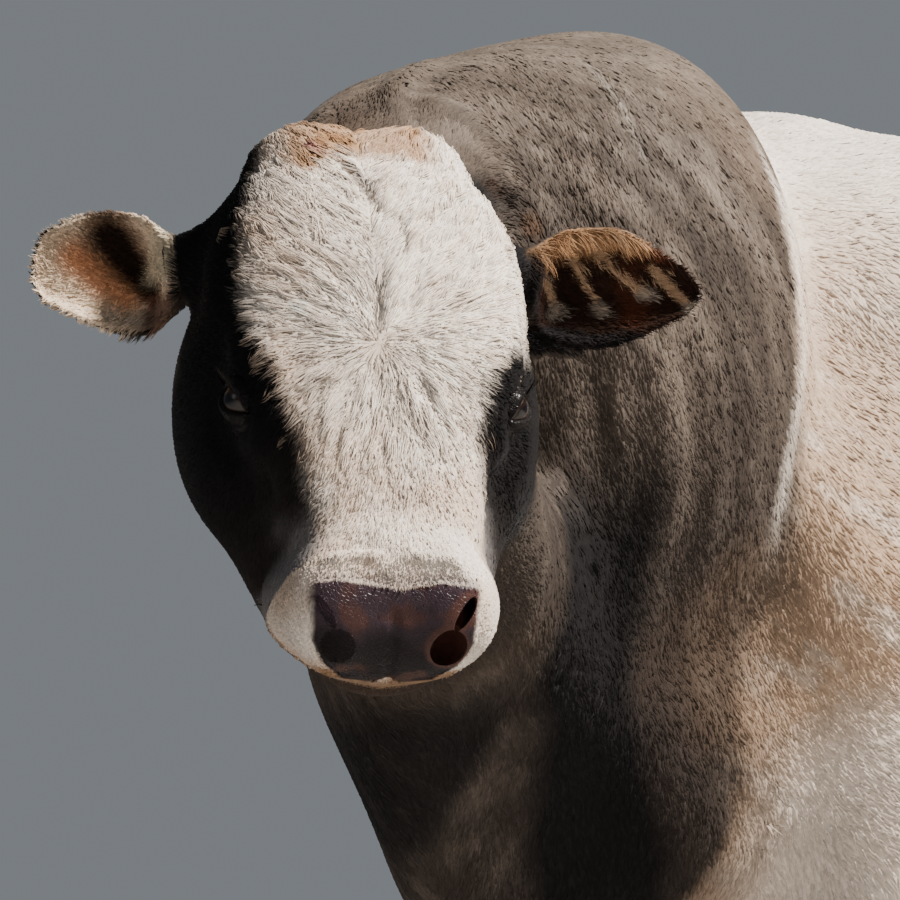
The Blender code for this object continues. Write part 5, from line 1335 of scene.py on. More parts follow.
def skin_object(body):
    mesh = body.raw_mesh()
    data = bpy.data.meshes.new("skin")
    mesh.to_mesh(data)
    mesh.free()
    skin = bpy.data.objects.new("skin", data)
    bpy.context.scene.collection.objects.link(skin)
    remesh = skin.modifiers.new("remesh", "REMESH")
    remesh.mode = "VOXEL"
    remesh.voxel_size = SKIN_VOXEL
    applied(skin)
    points = settled(body, points_of(skin.data), 1, 0.002)
    put_points(skin.data, settled(body, points, 2, 0.002))
    for chosen, rounds in ((near_face, 2), (near_detail, 2)):
        subdivide(skin, chosen)
        points = points_of(skin.data)
        near = near_face(points)
        points[near] = settled(body, points[near], rounds, 0.001)
        put_points(skin.data, points)
        relax(skin, near)
        points = points_of(skin.data)
        points[near] = settled(body, points[near], 1, 0.001)
        put_points(skin.data, points)
    return skin


# Lids and ears

LID = 0.0042
LID_RIM = {True: (0.50, -0.06), False: (-0.44, -0.10)}


def lid(name, side, upper):
    """A lid: a shell round the eyeball that ends in a curved rim."""
    axes = eye_axes(side)
    centre = eye_centre(side)
    rim_middle, rim_corner = LID_RIM[upper]
    rings = []
    for k in np.linspace(-1, 1, 31):
        lat = k * 1.20
        rim = rim_corner + (rim_middle - rim_corner) * max(0.0, 1 - (k / 0.93) ** 2) ** 0.7
        far = 1.75 if upper else -1.75
        outer = EYE_RADIUS + LID * (1 - 0.25 * k * k) - 0.0006
        loop = [(rim, outer - 0.0022), (rim + (far - rim) * 0.03, outer - 0.0006)]
        for f in (0.10, 0.22, 0.34, 0.46, 0.60, 0.80, 1.0):
            crease = 0.0009 * math.exp(-(((f - 0.34) / 0.07) ** 2))
            loop.append((rim + (far - rim) * f, outer - crease))
        loop += [(far, 0.010), (rim + (far - rim) * 0.5, 0.010), (rim, 0.010)]
        ring = []
        for angle, r in loop:
            place = np.array(
                [
                    math.sin(lat),
                    math.cos(lat) * math.sin(angle),
                    math.cos(lat) * math.cos(angle),
                ]
            )
            ring.append(centre + r * place @ axes)
        rings.append(ring)
    return loft(name, rings)


EARS = {
    1: ((0.06, 0.98, 0.02), (0.70, 0.10, 0.66), 0.184, 0.057, 0.45, 0.2),
    -1: ((-0.06, 0.97, -0.18), (0.60, -0.10, 0.80), 0.146, 0.056, 0.0, 0.55),
}


def ear_rings(side, steps=4, inset=0.0012):
    """Rings of an ear as in the solids, sampled finer and thinner by the hair that stands on it."""
    along, facing, length, width, point, skew = EARS[side]
    root, leaves = ear_frame(side)
    facing_axis = unit(np.array(facing) * [1, side, 1]) @ HEAD_AXES
    along_axis = unit(np.array(along) * [1, side, 1]) @ HEAD_AXES
    rows = []
    for s in (0.0, 0.06, 0.13, 0.21, 0.30, 0.40, 0.50, 0.60, 0.70, 0.79, 0.87, 0.94, 1.0):
        turn = min(s / 0.25, 1.0)
        direction = unit(leaves * (1 - turn) + along_axis * turn)
        front = unit(facing_axis - direction * (facing_axis @ direction))
        if s == 0.0:
            here = root
        else:
            here = here + direction * length * (s - last_s)
        last_s = s
        leaf = width * (math.sin(math.pi * min(1.0, 0.13 + 0.76 * s ** 0.95)) ** 0.65)
        leaf *= 1 - point * (max(s - 0.5, 0.0) / 0.5) ** 1.5
        half = 0.030 * (1 - turn) + leaf * turn
        if s > 0.94:
            half = leaf * 0.55
        deep = 0.030 * (1 - turn) + (0.036 * (1 - s) ** 0.8 + 0.008) * turn
        rows.append([*here, *direction, *front, half, deep, s])
    first = list(rows[0])
    first[:3] = np.array(rows[0][:3]) - leaves * 0.022
    rows = smooth_rows([first] + rows, steps)
    rings = []
    for row in rows:
        here, direction = row[:3], unit(row[3:6])
        front = unit(row[6:9] - direction * (row[6:9] @ direction))
        across = np.cross(front, direction)
        half, deep, s = row[9] - inset, row[10] - inset, max(row[11], 0.0)
        wall = 0.0065 * (1 - 0.45 * s) - 2 * inset
        open_by = smoothstep(0.08, 0.28, s)
        ring = []
        angles = np.linspace(-math.pi / 2, math.pi / 2, 21)
        turned = min(s / 0.25, 1.0)
        for a in angles:
            uneven = edge_at(s, math.sin(a) * side, skew * turned)
            ring.append(here + across * half * uneven * math.sin(a) - front * deep * math.cos(a))
        for a in angles[::-1][1:-1]:
            bulge = 0.030 * math.cos(a)
            fold = 0.0022 * math.sin(6 * a) * smoothstep(0.15, 0.35, s) * (1 - s) * math.cos(a)
            hollow = -(deep - wall) * math.cos(a) + fold
            y = bulge * (1 - open_by) + hollow * open_by
            x = half * math.sin(a) * (1 - 0.10 * open_by) * edge_at(s, math.sin(a) * side, skew * turned)
            ring.append(here + across * x + front * y)
        rings.append(ring)
    return rings


# Tufts


def tufts(name, roots, normals, ways, long, wide, lift, colours, uvs, bend=None):
    """Hairs in small tufts: two root corners, a raised crest and a tip, as three triangles each."""
    count = len(roots)
    across = np.cross(normals, ways)
    side = across * wide[:, None] * 0.5
    base = roots - normals * 0.0008
    crest = roots + ways * (long * 0.42)[:, None] + normals * (lift * 0.9 + 0.0006)[:, None]
    tip = roots + ways * long[:, None] + normals * (lift * 0.55)[:, None]
    if bend is not None:
        tip = tip + across * bend[:, None]
    points = np.stack([base - side, base + side, crest, tip], axis=1).reshape(-1, 3)
    one = np.array([[0, 2, 3], [1, 3, 2], [0, 1, 2]])
    triangles = (np.arange(count)[:, None, None] * 4 + one).reshape(-1, 3)
    patch = np.array([[-0.0012, -0.0012], [0.0012, -0.0012], [0.0, 0.0004], [0.0, 0.0015]])
    places = (uvs[:, None, :] + patch).reshape(-1, 2)
    # painted shade darkens each tuft's root corners, and the tip is a little lighter
    shade = np.array([0.72, 0.72, 1.0, 1.10])
    tints = (colours[:, None, :] * shade[None, :, None]).reshape(-1, 3).clip(0, 1)
    return array_mesh(name, points + SHIFT, triangles, places, tints)


def strands(name, roots, normals, ways, wide, paths, colours, uvs, root_shade=0.45):
    """Long hairs: ribbons with a raised middle, along paths of offsets (steps, count, 3)."""
    count, steps = len(roots), len(paths)
    across = np.cross(normals, ways)
    rows = []
    for k, offset in enumerate(paths):
        s = k / (steps - 1)
        taper = (1 - s**2.2) * (0.75 + 0.25 * min(1.0, s * 4))
        here = roots + offset
        half = across * (wide * 0.5 * max(taper, 0.06))[:, None]
        rows += [here - half, here + normals * (wide * 0.45 * taper)[:, None], here + half]
    points = np.stack(rows, axis=1)
    faces = []
    for k in range(steps - 1):
        a = k * 3
        for left, right in ((a, a + 1), (a + 1, a + 2)):
            faces += [[left, right, right + 3], [left, right + 3, left + 3]]
    faces = np.array(faces)
    triangles = (np.arange(count)[:, None, None] * (3 * steps) + faces).reshape(-1, 3)
    share = np.repeat(np.arange(steps) / (steps - 1), 3)
    patch = np.stack([np.tile([-0.0011, 0.0, 0.0011], steps), (share - 0.5) * 0.0028], axis=1)
    places = (uvs[:, None, :] + patch).reshape(-1, 2)
    # painted shade darkens each strand towards its root
    shade = root_shade + (1.12 - root_shade) * smoothstep(0.0, 0.55, share)
    tints = (colours[:, None, :] * shade[None, :, None]).reshape(-1, 3).clip(0, 1)
    return array_mesh(name, points.reshape(-1, 3) + SHIFT, triangles, places, tints)


class Roots:
    """The skin's triangles, from which hair roots are drawn."""

    def __init__(self, skin):
        mesh = skin.data
        mesh.calc_loop_triangles()
        count = len(mesh.loop_triangles)
        self.corners = np.empty(count * 3, np.int64)
        mesh.loop_triangles.foreach_get("vertices", self.corners)
        self.corners = self.corners.reshape(-1, 3)
        loops = np.empty(count * 3, np.int64)
        mesh.loop_triangles.foreach_get("loops", loops)
        uv = np.empty(len(mesh.loops) * 2, np.float32)
        mesh.uv_layers["OFBake"].data.foreach_get("uv", uv)
        self.uv = uv.reshape(-1, 2)[loops].reshape(-1, 3, 2)
        self.points = points_of(mesh) - SHIFT
        flat = np.empty(len(mesh.vertices) * 3, np.float32)
        mesh.vertices.foreach_get("normal", flat)
        self.normals = flat.reshape(-1, 3).astype(float)
        a, b, c = (self.points[self.corners[:, i]] for i in range(3))
        self.area = np.linalg.norm(np.cross(b - a, c - a), axis=1) / 2
        self.middle = (a + b + c) / 3

    def drawn(self, density, seed):
        """Roots at a density given for each triangle, as points, normals and uvs."""
        draw = np.random.default_rng(seed)
        total = np.cumsum(self.area * density)
        count = int(total[-1])
        marks = (np.arange(count) + draw.uniform(0, 1, count)) * total[-1] / count
        pick = np.searchsorted(total, marks).clip(0, len(total) - 1)
        r = np.sqrt(draw.uniform(0, 1, count))
        s = draw.uniform(0, 1, count)
        w = np.stack([1 - r, r * (1 - s), r * s], axis=1)
        corners = self.corners[pick]
        points = (self.points[corners] * w[:, :, None]).sum(1)
        normals = row_units((self.normals[corners] * w[:, :, None]).sum(1))
        uvs = (self.uv[pick] * w[:, :, None]).sum(1)
        return points, normals, uvs, draw


MORE = 1.0
PIECE = 60000

# Tufts for each square metre of the trunk, what other places have beyond that, and the ears' own
COAT_DENSITY = 34000
NECK_MORE = 48000
HEAD_MORE = 118000
MUZZLE_MORE = 85000
LEG_MORE = 17000
FOOT_MORE = 20000
EAR_DENSITY = 180000
HOOF_TOP = 0.045

# Hairs for each square metre of the forehead and the ears, and the wisps that they draw into
FOREHEAD_DENSITY = 82000
FOREHEAD_WISPS = 5200
EAR_RIM_DENSITY = 210000
EAR_INNER_DENSITY = 90000
EAR_WISPS = 16000
FEWER_WISPS = 1.0
LASH_WIDTH = 0.0007
BRUSH_HAIRS = 900


def coat_regions(points):
    """Density, length, width and lift of the short coat at each point."""
    ears = ear_share(points)
    head = head_share(points)
    neck = smoothstep(-0.50, -0.70, points[:, 1]) * (1 - head)
    legs = smoothstep(0.62, 0.45, points[:, 2])
    feet = smoothstep(0.22, 0.12, points[:, 2])
    t = in_head(points)[:, 0]
    front = head * smoothstep(0.36, 0.50, t)
    density = COAT_DENSITY + NECK_MORE * neck + HEAD_MORE * head + MUZZLE_MORE * front
    density = density + LEG_MORE * legs + FOOT_MORE * feet
    density = density + ears * (EAR_DENSITY - density)
    density = density * (1 - bare(points)) * (points[:, 2] > HOOF_TOP)
    long = 0.0170 - 0.002 * neck - 0.0060 * head - 0.0035 * front - 0.004 * legs - 0.003 * feet
    wide = 0.0030 - 0.0007 * neck - 0.0013 * head - 0.0005 * legs
    lift = 0.0018 - 0.0009 * neck - 0.0002 * head - 0.0003 * legs - 0.0004 * front
    long = long - (long - 0.0042) * head * smoothstep(0.448, 0.475, t)
    long = long + ears * (0.0080 - long)
    wide = wide + ears * (0.0011 - wide)
    lift = lift + ears * (0.0014 - lift)
    return density, long, wide, lift


def short_coat(roots):
    """The short coat over the whole animal, in pieces under 200,000 triangles."""
    density = coat_regions(roots.middle)[0] * MORE
    points, normals, uvs, draw = roots.drawn(density, 5)
    _, long, wide, lift = coat_regions(points)
    ways = lies(points, normals)
    colours = markings(points, normals)
    count = len(points)
    tone = draw.normal(1.0, 0.10, (count, 1)) * (1 + 0.06 * waves(points, 60.0, 21))[:, None]
    colours = colours * tone.clip(0.6, 1.4)
    long = long * draw.uniform(0.75, 1.25, count)
    wide = wide * draw.uniform(0.75, 1.25, count)
    lift = lift * draw.uniform(0.6, 1.5, count)
    turn = draw.normal(0, 0.16, count)[:, None]
    ways = row_units(ways + np.cross(normals, ways) * turn)
    bend = draw.normal(0, 0.10, count) * long
    order = np.argsort(points[:, 1] + 4.0 * (points[:, 2] < 0.62), kind="stable")
    made = []
    for first in range(0, count, PIECE):
        pick = order[first : first + PIECE]
        name = f"coat_{len(made) + 1}"
        made.append(
            tufts(
                name, points[pick], normals[pick], ways[pick], long[pick], wide[pick], lift[pick],
                colours[pick], uvs[pick], bend[pick],
            )
        )
    return made


def wisps(name, roots, centre_of, draw, long, wide, colours, lifted, curl, steps=5, close=0.75):
    """Strands in wisps: each wisp's hairs draw together towards its tip and bend alike."""
    points, normals, ways, uvs = roots
    count = len(points)
    wisps_here = int(centre_of.max()) + 1
    across = np.cross(normals, ways)
    total = np.bincount(centre_of, minlength=wisps_here).clip(1)
    middle = np.stack([np.bincount(centre_of, points[:, k], wisps_here) / total for k in range(3)], 1)
    middle = middle[centre_of]
    bow = (draw.normal(0, 1, wisps_here) * curl)[centre_of] + draw.normal(0, 0.15, count) * curl
    high = (draw.uniform(0.6, 1.4, wisps_here) * lifted)[centre_of] * draw.uniform(0.7, 1.2, count)
    to_middle = middle - points
    to_middle = to_middle - normals * (to_middle * normals).sum(1)[:, None]
    paths = []
    for s in np.linspace(0, 1, steps):
        path = ways * (long * s)[:, None]
        path = path + across * (bow * long * math.sin(math.pi * 0.85 * s))[:, None]
        path = path + normals * (high * math.sin(math.pi * min(1, 0.12 + 0.80 * s)) - 0.0012)[:, None]
        path = path + to_middle * (close * s**0.8)
        paths.append(path)
    return strands(name, points, normals, ways, wide, paths, colours, uvs)


def nearest_of(points, centres):
    """For each point, the number of its nearest centre."""
    chunk = 4000
    best = np.empty(len(points), np.int64)
    for first in range(0, len(points), chunk):
        part = points[first : first + chunk]
        far = ((part[:, None, :] - centres[None, :, :]) ** 2).sum(2)
        best[first : first + chunk] = far.argmin(1)
    return best


def forehead_hair(roots):
    """The wavy coat of the forehead, poll and nose bridge, in wisps that lie out from the whorl."""
    t, u, v = in_head(roots.middle).T
    edge = np.where(u > 0, np.interp(t, FACE_AT, WHITE_LEFT), np.interp(t, FACE_AT, WHITE_RIGHT))
    on = (t > -0.045) & (t < 0.44) & (np.abs(u) < edge + 0.016) & (v > -0.075)
    on = on & (np.hypot(t - 0.015, u + 0.041) > 0.0125)
    dense = FOREHEAD_DENSITY * smoothstep(0.44, 0.36, t) * (1 - 0.55 * smoothstep(0.30, 0.38, t))
    points, normals, uvs, draw = roots.drawn(on * dense * MORE, 61)
    seeds = roots.drawn(on * FOREHEAD_WISPS * FEWER_WISPS, 62)[0]
    owner = nearest_of(points, seeds)
    ways = lies(points, normals)
    t, u, v = in_head(points).T
    away = np.hypot(t - WHORL[0], u - WHORL[1])
    count = len(points)
    long = (0.021 + 0.008 * smoothstep(0.0, 0.08, away)) * draw.uniform(0.8, 1.2, count)
    long = long * (1 - 0.45 * smoothstep(0.28, 0.42, t)) * (1 - 0.35 * smoothstep(0.03, -0.01, t))
    edge = np.where(u > 0, np.interp(t, FACE_AT, WHITE_LEFT), np.interp(t, FACE_AT, WHITE_RIGHT))
    long = long * (1 - 0.55 * smoothstep(0.045, 0.0, edge - np.abs(u)))
    wide = draw.uniform(0.0008, 0.0014, count)
    seen = len(seeds)
    tone = draw.normal(1.0, 0.07, seen)[owner] * draw.normal(1.0, 0.07, count)
    colours = markings(points, normals) * tone[:, None].clip(0.75, 1.25)
    colours = mix(colours, [0.56, 0.42, 0.31], 0.30 * (draw.uniform(0, 1, seen)[owner] > 0.82))
    return wisps(
        "forehead_hair", (points, normals, ways, uvs), owner, draw, long, wide, colours,
        0.0034, 0.16,
    )


def ear_hair(roots):
    """Longer hair along the rims and inside the ears."""
    made = []
    for side, word in ((1, "left"), (-1, "right")):
        s, a, f, front = ear_places(roots.middle, side)
        on = (s > 0.05) & (s < 1.12) & (np.abs(a) < 1.2) & (np.abs(f) < 1.15)
        a_of = roots.normals[roots.corners].mean(1) @ front
        rim = on & (np.abs(a) > 0.72)
        inner = on & (a_of > 0.1) & (np.abs(a) < 0.8)
        dense = rim * EAR_RIM_DENSITY + inner * EAR_INNER_DENSITY
        points, normals, uvs, draw = roots.drawn(dense * MORE, 70 + side)
        s, a, f, front = ear_places(points, side)
        axis = unit(np.array(EARS[side][0]) * [1, side, 1]) @ HEAD_AXES
        across = np.cross(front, axis) * side
        count = len(points)
        if side > 0:
            lean = -across * 1.1 * smoothstep(-0.5, 0.5, a)[:, None]
            long = 0.013 + 0.014 * smoothstep(-0.1, 0.6, a) * smoothstep(0.8, 0.5, s)
            long = long + draw.normal(0, 0.0015, count)
        else:
            lean = across * np.sign(a)[:, None] * 0.7 + np.outer(smoothstep(0.2, 0.6, -a), -across * 0.3)
            low = smoothstep(0.3, 0.8, -a) * smoothstep(0.6, 0.3, s)
            long = 0.0060 + draw.normal(0, 0.0008, count) + 0.010 * low
        ways = axis * 0.8 + lean + draw.normal(0, 0.12, (count, 3))
        ways = row_units(ways - normals * (ways * normals).sum(1)[:, None])
        seeds = roots.drawn((rim | inner) * EAR_WISPS * FEWER_WISPS, 80 + side)[0]
        owner = nearest_of(points, seeds)
        colours = markings(points, normals)
        light = draw.uniform(0, 1, len(seeds))[owner]
        if side > 0:
            pale = (light > 0.90) & ((normals @ front) > 0) & (a > 0.1)
            colours = mix(colours, [0.34, 0.23, 0.14], 0.70 * pale)
        colours = colours * draw.normal(1.0, 0.10, (count, 1)).clip(0.7, 1.3)
        wide = draw.uniform(0.0007, 0.0012, count)
        made.append(
            wisps(
                f"ear_hair_{word}", (points, normals, ways, uvs), owner, draw,
                long.clip(0.004, 0.04), wide, colours, 0.0030, 0.12,
            )
        )
    return made


def lashes():
    """Lashes along both lids."""
    draw = np.random.default_rng(90)
    rows = []
    for side in (1, -1):
        axes = eye_axes(side)
        for upper, count in ((True, 70), (False, 34)):
            middle, corner = LID_RIM[upper]
            for k in np.linspace(-0.86, 0.86, count):
                lat = k * 1.20
                rim = corner + (middle - corner) * max(0.0, 1 - (k / 0.93) ** 2) ** 0.7
                out = np.array([math.sin(lat), math.cos(lat) * math.sin(rim), math.cos(lat) * math.cos(rim)])
                up = np.array([0, 1.0 if upper else -1.0, 0.55])
                here = eye_centre(side) + (EYE_RADIUS + 0.0030) * out @ axes
                normal = out @ axes
                way = unit(up + 0.5 * np.array([k, 0, 0]) + draw.normal(0, 0.10, 3)) @ axes
                long = (0.0125 if upper else 0.007) * draw.uniform(0.8, 1.1)
                rows.append([*here, *normal, *way, long])
    rows = np.array(rows)
    start, normals, ways, long = rows[:, :3], rows[:, 3:6], rows[:, 6:9], rows[:, 9]
    paths = []
    for s in np.linspace(0, 1, 4):
        paths.append(normals * (long * 0.55 * math.sin(1.4 * s))[:, None] + ways * (long * s**1.3)[:, None])
    count = len(rows)
    colours = np.tile([0.015, 0.012, 0.011], (count, 1))
    uvs = np.stack([np.linspace(0.05, 0.95, count), np.full(count, 0.5)], 1)
    return strands("lashes", start, normals, ways, np.full(count, LASH_WIDTH), paths, colours, uvs)


# Materials


def new_material(name):
    material = bpy.data.materials.new(name)
    material.use_nodes = True
    tree = material.node_tree
    surface = tree.nodes["Principled BSDF"]
    return material, tree, surface


def added(tree, kind, **values):
    node = tree.nodes.new(kind)
    for key, value in values.items():
        if key in node.inputs:
            node.inputs[key].default_value = value
        else:
            setattr(node, key, value)
    return node


def coat_colour(tree):
    node = tree.nodes.new("ShaderNodeAttribute")
    node.attribute_name = "coat"
    return node.outputs["Color"]


def speckled(tree, colour, scale, low, high, detail=4.0):
    """A colour made lighter and darker by noise, and the place that the noise is read at."""
    place = tree.nodes.new("ShaderNodeTexCoord")
    noise = added(tree, "ShaderNodeTexNoise", Scale=scale, Detail=detail)
    tree.links.new(place.outputs["Object"], noise.inputs["Vector"])
    amount = added(tree, "ShaderNodeMapRange")
    amount.inputs["From Min"].default_value = 0.3
    amount.inputs["From Max"].default_value = 0.7
    amount.inputs["To Min"].default_value = low
    amount.inputs["To Max"].default_value = high
    tree.links.new(noise.outputs["Fac"], amount.inputs["Value"])
    scaled = added(tree, "ShaderNodeVectorMath", operation="SCALE")
    tree.links.new(colour, scaled.inputs[0])
    tree.links.new(amount.outputs["Result"], scaled.inputs["Scale"])
    return scaled.outputs["Vector"], place.outputs["Object"]


def hair_material(name, roughness=0.62, sheen=0.03):
    material, tree, surface = new_material(name)
    colour = speckled(tree, coat_colour(tree), 420.0, 0.90, 1.10)[0]
    tree.links.new(colour, surface.inputs["Base Color"])
    surface.inputs["Roughness"].default_value = roughness
    surface.inputs["Specular IOR Level"].default_value = 0.07
    surface.inputs["Sheen Weight"].default_value = sheen
    surface.inputs["Sheen Roughness"].default_value = 0.5
    return material


def skin_material():
    """Short lying hair as bump, and bare damp skin with fine pebbles where bare is 1."""
    material, tree, surface = new_material("skin")
    colour, place = speckled(tree, coat_colour(tree), 160.0, 0.80, 1.14)
    tree.links.new(colour, surface.inputs["Base Color"])
    hair = added(tree, "ShaderNodeTexNoise", Scale=520.0, Detail=3.0)
    tree.links.new(place, hair.inputs["Vector"])
    pebbles = added(tree, "ShaderNodeTexVoronoi", Scale=330.0)
    pebbles.feature = "DISTANCE_TO_EDGE"
    tree.links.new(place, pebbles.inputs["Vector"])
    edge = added(tree, "ShaderNodeMapRange")
    edge.inputs["From Max"].default_value = 0.12
    tree.links.new(pebbles.outputs["Distance"], edge.inputs["Value"])
    bare_here = tree.nodes.new("ShaderNodeAttribute")
    bare_here.attribute_name = "bare"
    height = added(tree, "ShaderNodeMix", data_type="FLOAT")
    tree.links.new(bare_here.outputs["Fac"], height.inputs[0])
    tree.links.new(hair.outputs["Fac"], height.inputs[2])
    tree.links.new(edge.outputs["Result"], height.inputs[3])
    bump = added(tree, "ShaderNodeBump", Strength=0.45, Distance=0.0012)
    tree.links.new(height.outputs[0], bump.inputs["Height"])
    tree.links.new(bump.outputs["Normal"], surface.inputs["Normal"])
    rough = added(tree, "ShaderNodeMapRange")
    rough.inputs["To Min"].default_value = 0.78
    rough.inputs["To Max"].default_value = 0.30
    tree.links.new(bare_here.outputs["Fac"], rough.inputs["Value"])
    tree.links.new(rough.outputs["Result"], surface.inputs["Roughness"])
    surface.inputs["Specular IOR Level"].default_value = 0.14
    return material


def horn_material():
    """Dark horn with faint growth lines round the claw and fine cracks."""
    material, tree, surface = new_material("horn")
    place = tree.nodes.new("ShaderNodeTexCoord")
    bands = added(tree, "ShaderNodeTexNoise", Scale=1.0, Detail=2.0)
    stretch = added(tree, "ShaderNodeMapping")
    stretch.inputs["Scale"].default_value = (12.0, 30.0, 330.0)
    tree.links.new(place.outputs["Object"], stretch.inputs["Vector"])
    tree.links.new(stretch.outputs["Vector"], bands.inputs["Vector"])
    ramp = tree.nodes.new("ShaderNodeValToRGB")
    ramp.color_ramp.elements[0].position = 0.35
    ramp.color_ramp.elements[0].color = (0.018, 0.015, 0.013, 1)
    ramp.color_ramp.elements[1].position = 0.70
    ramp.color_ramp.elements[1].color = (0.060, 0.048, 0.038, 1)
    tree.links.new(bands.outputs["Fac"], ramp.inputs["Fac"])
    tree.links.new(ramp.outputs["Color"], surface.inputs["Base Color"])
    bump = added(tree, "ShaderNodeBump", Strength=0.5, Distance=0.001)
    tree.links.new(bands.outputs["Fac"], bump.inputs["Height"])
    tree.links.new(bump.outputs["Normal"], surface.inputs["Normal"])
    surface.inputs["Roughness"].default_value = 0.5
    return material


def eye_material():
    """White, iris and pupil from the vertex colours, under a wet clear coat."""
    material, tree, surface = new_material("eye")
    colour = speckled(tree, coat_colour(tree), 900.0, 0.75, 1.25)[0]
    tree.links.new(colour, surface.inputs["Base Color"])
    surface.inputs["Roughness"].default_value = 0.30
    surface.inputs["Specular IOR Level"].default_value = 0.3
    surface.inputs["Coat Weight"].default_value = 0.35
    surface.inputs["Coat Roughness"].default_value = 0.08
    return material


# Eyes, claws and the brush of the tail


def eyeball(side):
    axes = eye_axes(side)
    centre = eye_centre(side)
    gaze = unit(axes[2] + 0.12 * axes[0] + 0.02 * axes[1])
    right = unit(axes[0] - gaze * (axes[0] @ gaze))
    up = np.cross(gaze, right)
    points, triangles, colours = [], [], []
    across, around = 48, 64
    for i in range(across + 1):
        turn = math.pi * i / across
        for k in range(around):
            a = math.tau * k / around
            bulge = 0.0014 * math.exp(-((turn / 0.50) ** 4))
            way = gaze * math.cos(turn) + (right * math.cos(a) + up * math.sin(a)) * math.sin(turn)
            points.append(centre + way * (EYE_RADIUS - 0.0012 + bulge))
            x, y = math.sin(turn) * math.cos(a), math.sin(turn) * math.sin(a)
            iris = smoothstep(0.86, 0.78, math.hypot(x, y)) * (turn < 1.6)
            pupil = smoothstep(1.08, 0.92, math.hypot(x / 0.46, y / 0.24)) * (turn < 1.6)
            fibre = 0.8 + 0.3 * math.sin(31 * a) * math.sin(13 * a + 1)
            tint = np.array([0.045, 0.032, 0.028]) * (1 - iris)
            tint = tint + np.array([0.026, 0.011, 0.005]) * iris * fibre
            tint = tint * (1 - pupil) + np.array([0.002, 0.002, 0.004]) * pupil
            colours.append(tint)
    for i in range(across):
        for k in range(around):
            n = (k + 1) % around
            a, b = i * around + k, i * around + n
            c, d = a + around, b + around
            triangles += [[a, c, d], [a, d, b]]
    word = "left" if side > 0 else "right"
    made = array_mesh(
        f"eyeball_{word}", np.array(points) + SHIFT, np.array(triangles), None, np.array(colours)
    )
    mesh = bmesh.new()
    mesh.from_mesh(made.data)
    bmesh.ops.remove_doubles(mesh, verts=mesh.verts, dist=0.00001)
    bmesh.ops.dissolve_degenerate(mesh, edges=mesh.edges, dist=0.000001)
    bmesh.ops.recalc_face_normals(mesh, faces=mesh.faces)
    mesh.to_mesh(made.data)
    mesh.free()
    return made


CLAW_ROWS = (
    (0.0, 0.061, 0.0270, 0.022),
    (0.10, 0.063, 0.0280, 0.021),
    (0.45, 0.058, 0.0280, 0.013),
    (0.80, 0.053, 0.0275, 0.005),
    (1.0, 0.050, 0.0270, 0.000),
)


def claw(name, foot, inner):
    """One claw of a cloven hoof with growth rings, from its flat sole to the coronet."""
    x0, y0, z0 = foot
    side = 1 if x0 > 0 else -1
    lean = -side if inner else side
    rings = []
    for h, long, wide, back in smooth_rows(CLAW_ROWS, 5):
        ridge = -0.0006 * (1 + math.cos(h * 46)) * smoothstep(0.05, 0.2, h)
        ring = []
        for a in np.arange(40) * math.tau / 40:
            c, s = math.cos(a), math.sin(a)
            flat = 0.72 if c < 0 else 1.0
            x = x0 + lean * (0.0305 + (wide + ridge) * c * flat * (1 - 0.18 * max(-s, 0) ** 2))
            y = y0 - back + (long + ridge) * s
            top = z0 - 0.0004 - CORONET_SLOPE * (y - y0)
            ring.append(np.array([x, y, top * h]))
        rings.append(ring)
    made = loft(name, rings)
    put_points(made.data, points_of(made.data) + SHIFT)
    for face in made.data.polygons:
        face.use_smooth = True
    return made


SWITCH_TOP = 0.665
SWITCH_TIP = 0.345


def tail_brush():
    """Long dark hair in bending locks round the end of the tail."""
    draw = np.random.default_rng(12)
    count = BRUSH_HAIRS
    turn = draw.uniform(0, math.tau, count)
    share = draw.uniform(0, 1, count) ** 1.1 * 0.62
    outward = np.stack([np.cos(turn), np.sin(turn), np.zeros(count)], axis=1)
    sideways = np.stack([-np.sin(turn), np.cos(turn), np.zeros(count)], axis=1)
    full = SWITCH_TOP - SWITCH_TIP
    core = 0.011 + 0.008 * np.sin(share * 4)
    start = np.tile([*SWITCH_PLACE, SWITCH_TOP], (count, 1)) + outward * core[:, None]
    start[:, 2] -= share * full
    long = draw.uniform(0.40, 0.62, count) * full * (1.1 - 0.35 * share)
    long = np.minimum(long, start[:, 2] - SWITCH_TIP)
    spread = draw.uniform(0.004, 0.026, count)
    swing = draw.normal(0, 0.010, count)
    paths = []
    for s in np.linspace(0, 1, 8):
        off = spread * np.sin(math.pi * min(1, 0.08 + 0.80 * s)) ** 0.8 - 0.006 * s
        wave = swing * math.sin(3.2 * s) + 0.0022 * np.sin(9 * s + turn * 3)
        path = outward * off[:, None] + sideways * wave[:, None]
        path = path + np.array([0, 0, -1.0]) * (long * s)[:, None]
        paths.append(path)
    down = np.tile([0.0, 0.0, -1.0], (count, 1))
    tone = draw.uniform(0.6, 1.9, (count, 1))
    colours = np.tile([0.022, 0.019, 0.018], (count, 1)) * tone
    wide = draw.uniform(0.0022, 0.0050, count)
    uvs = np.stack([turn / math.tau, share], axis=1) * 0.9 + 0.05
    return strands("tail_brush", start, outward, down, wide, paths, colours, uvs)


# The scene


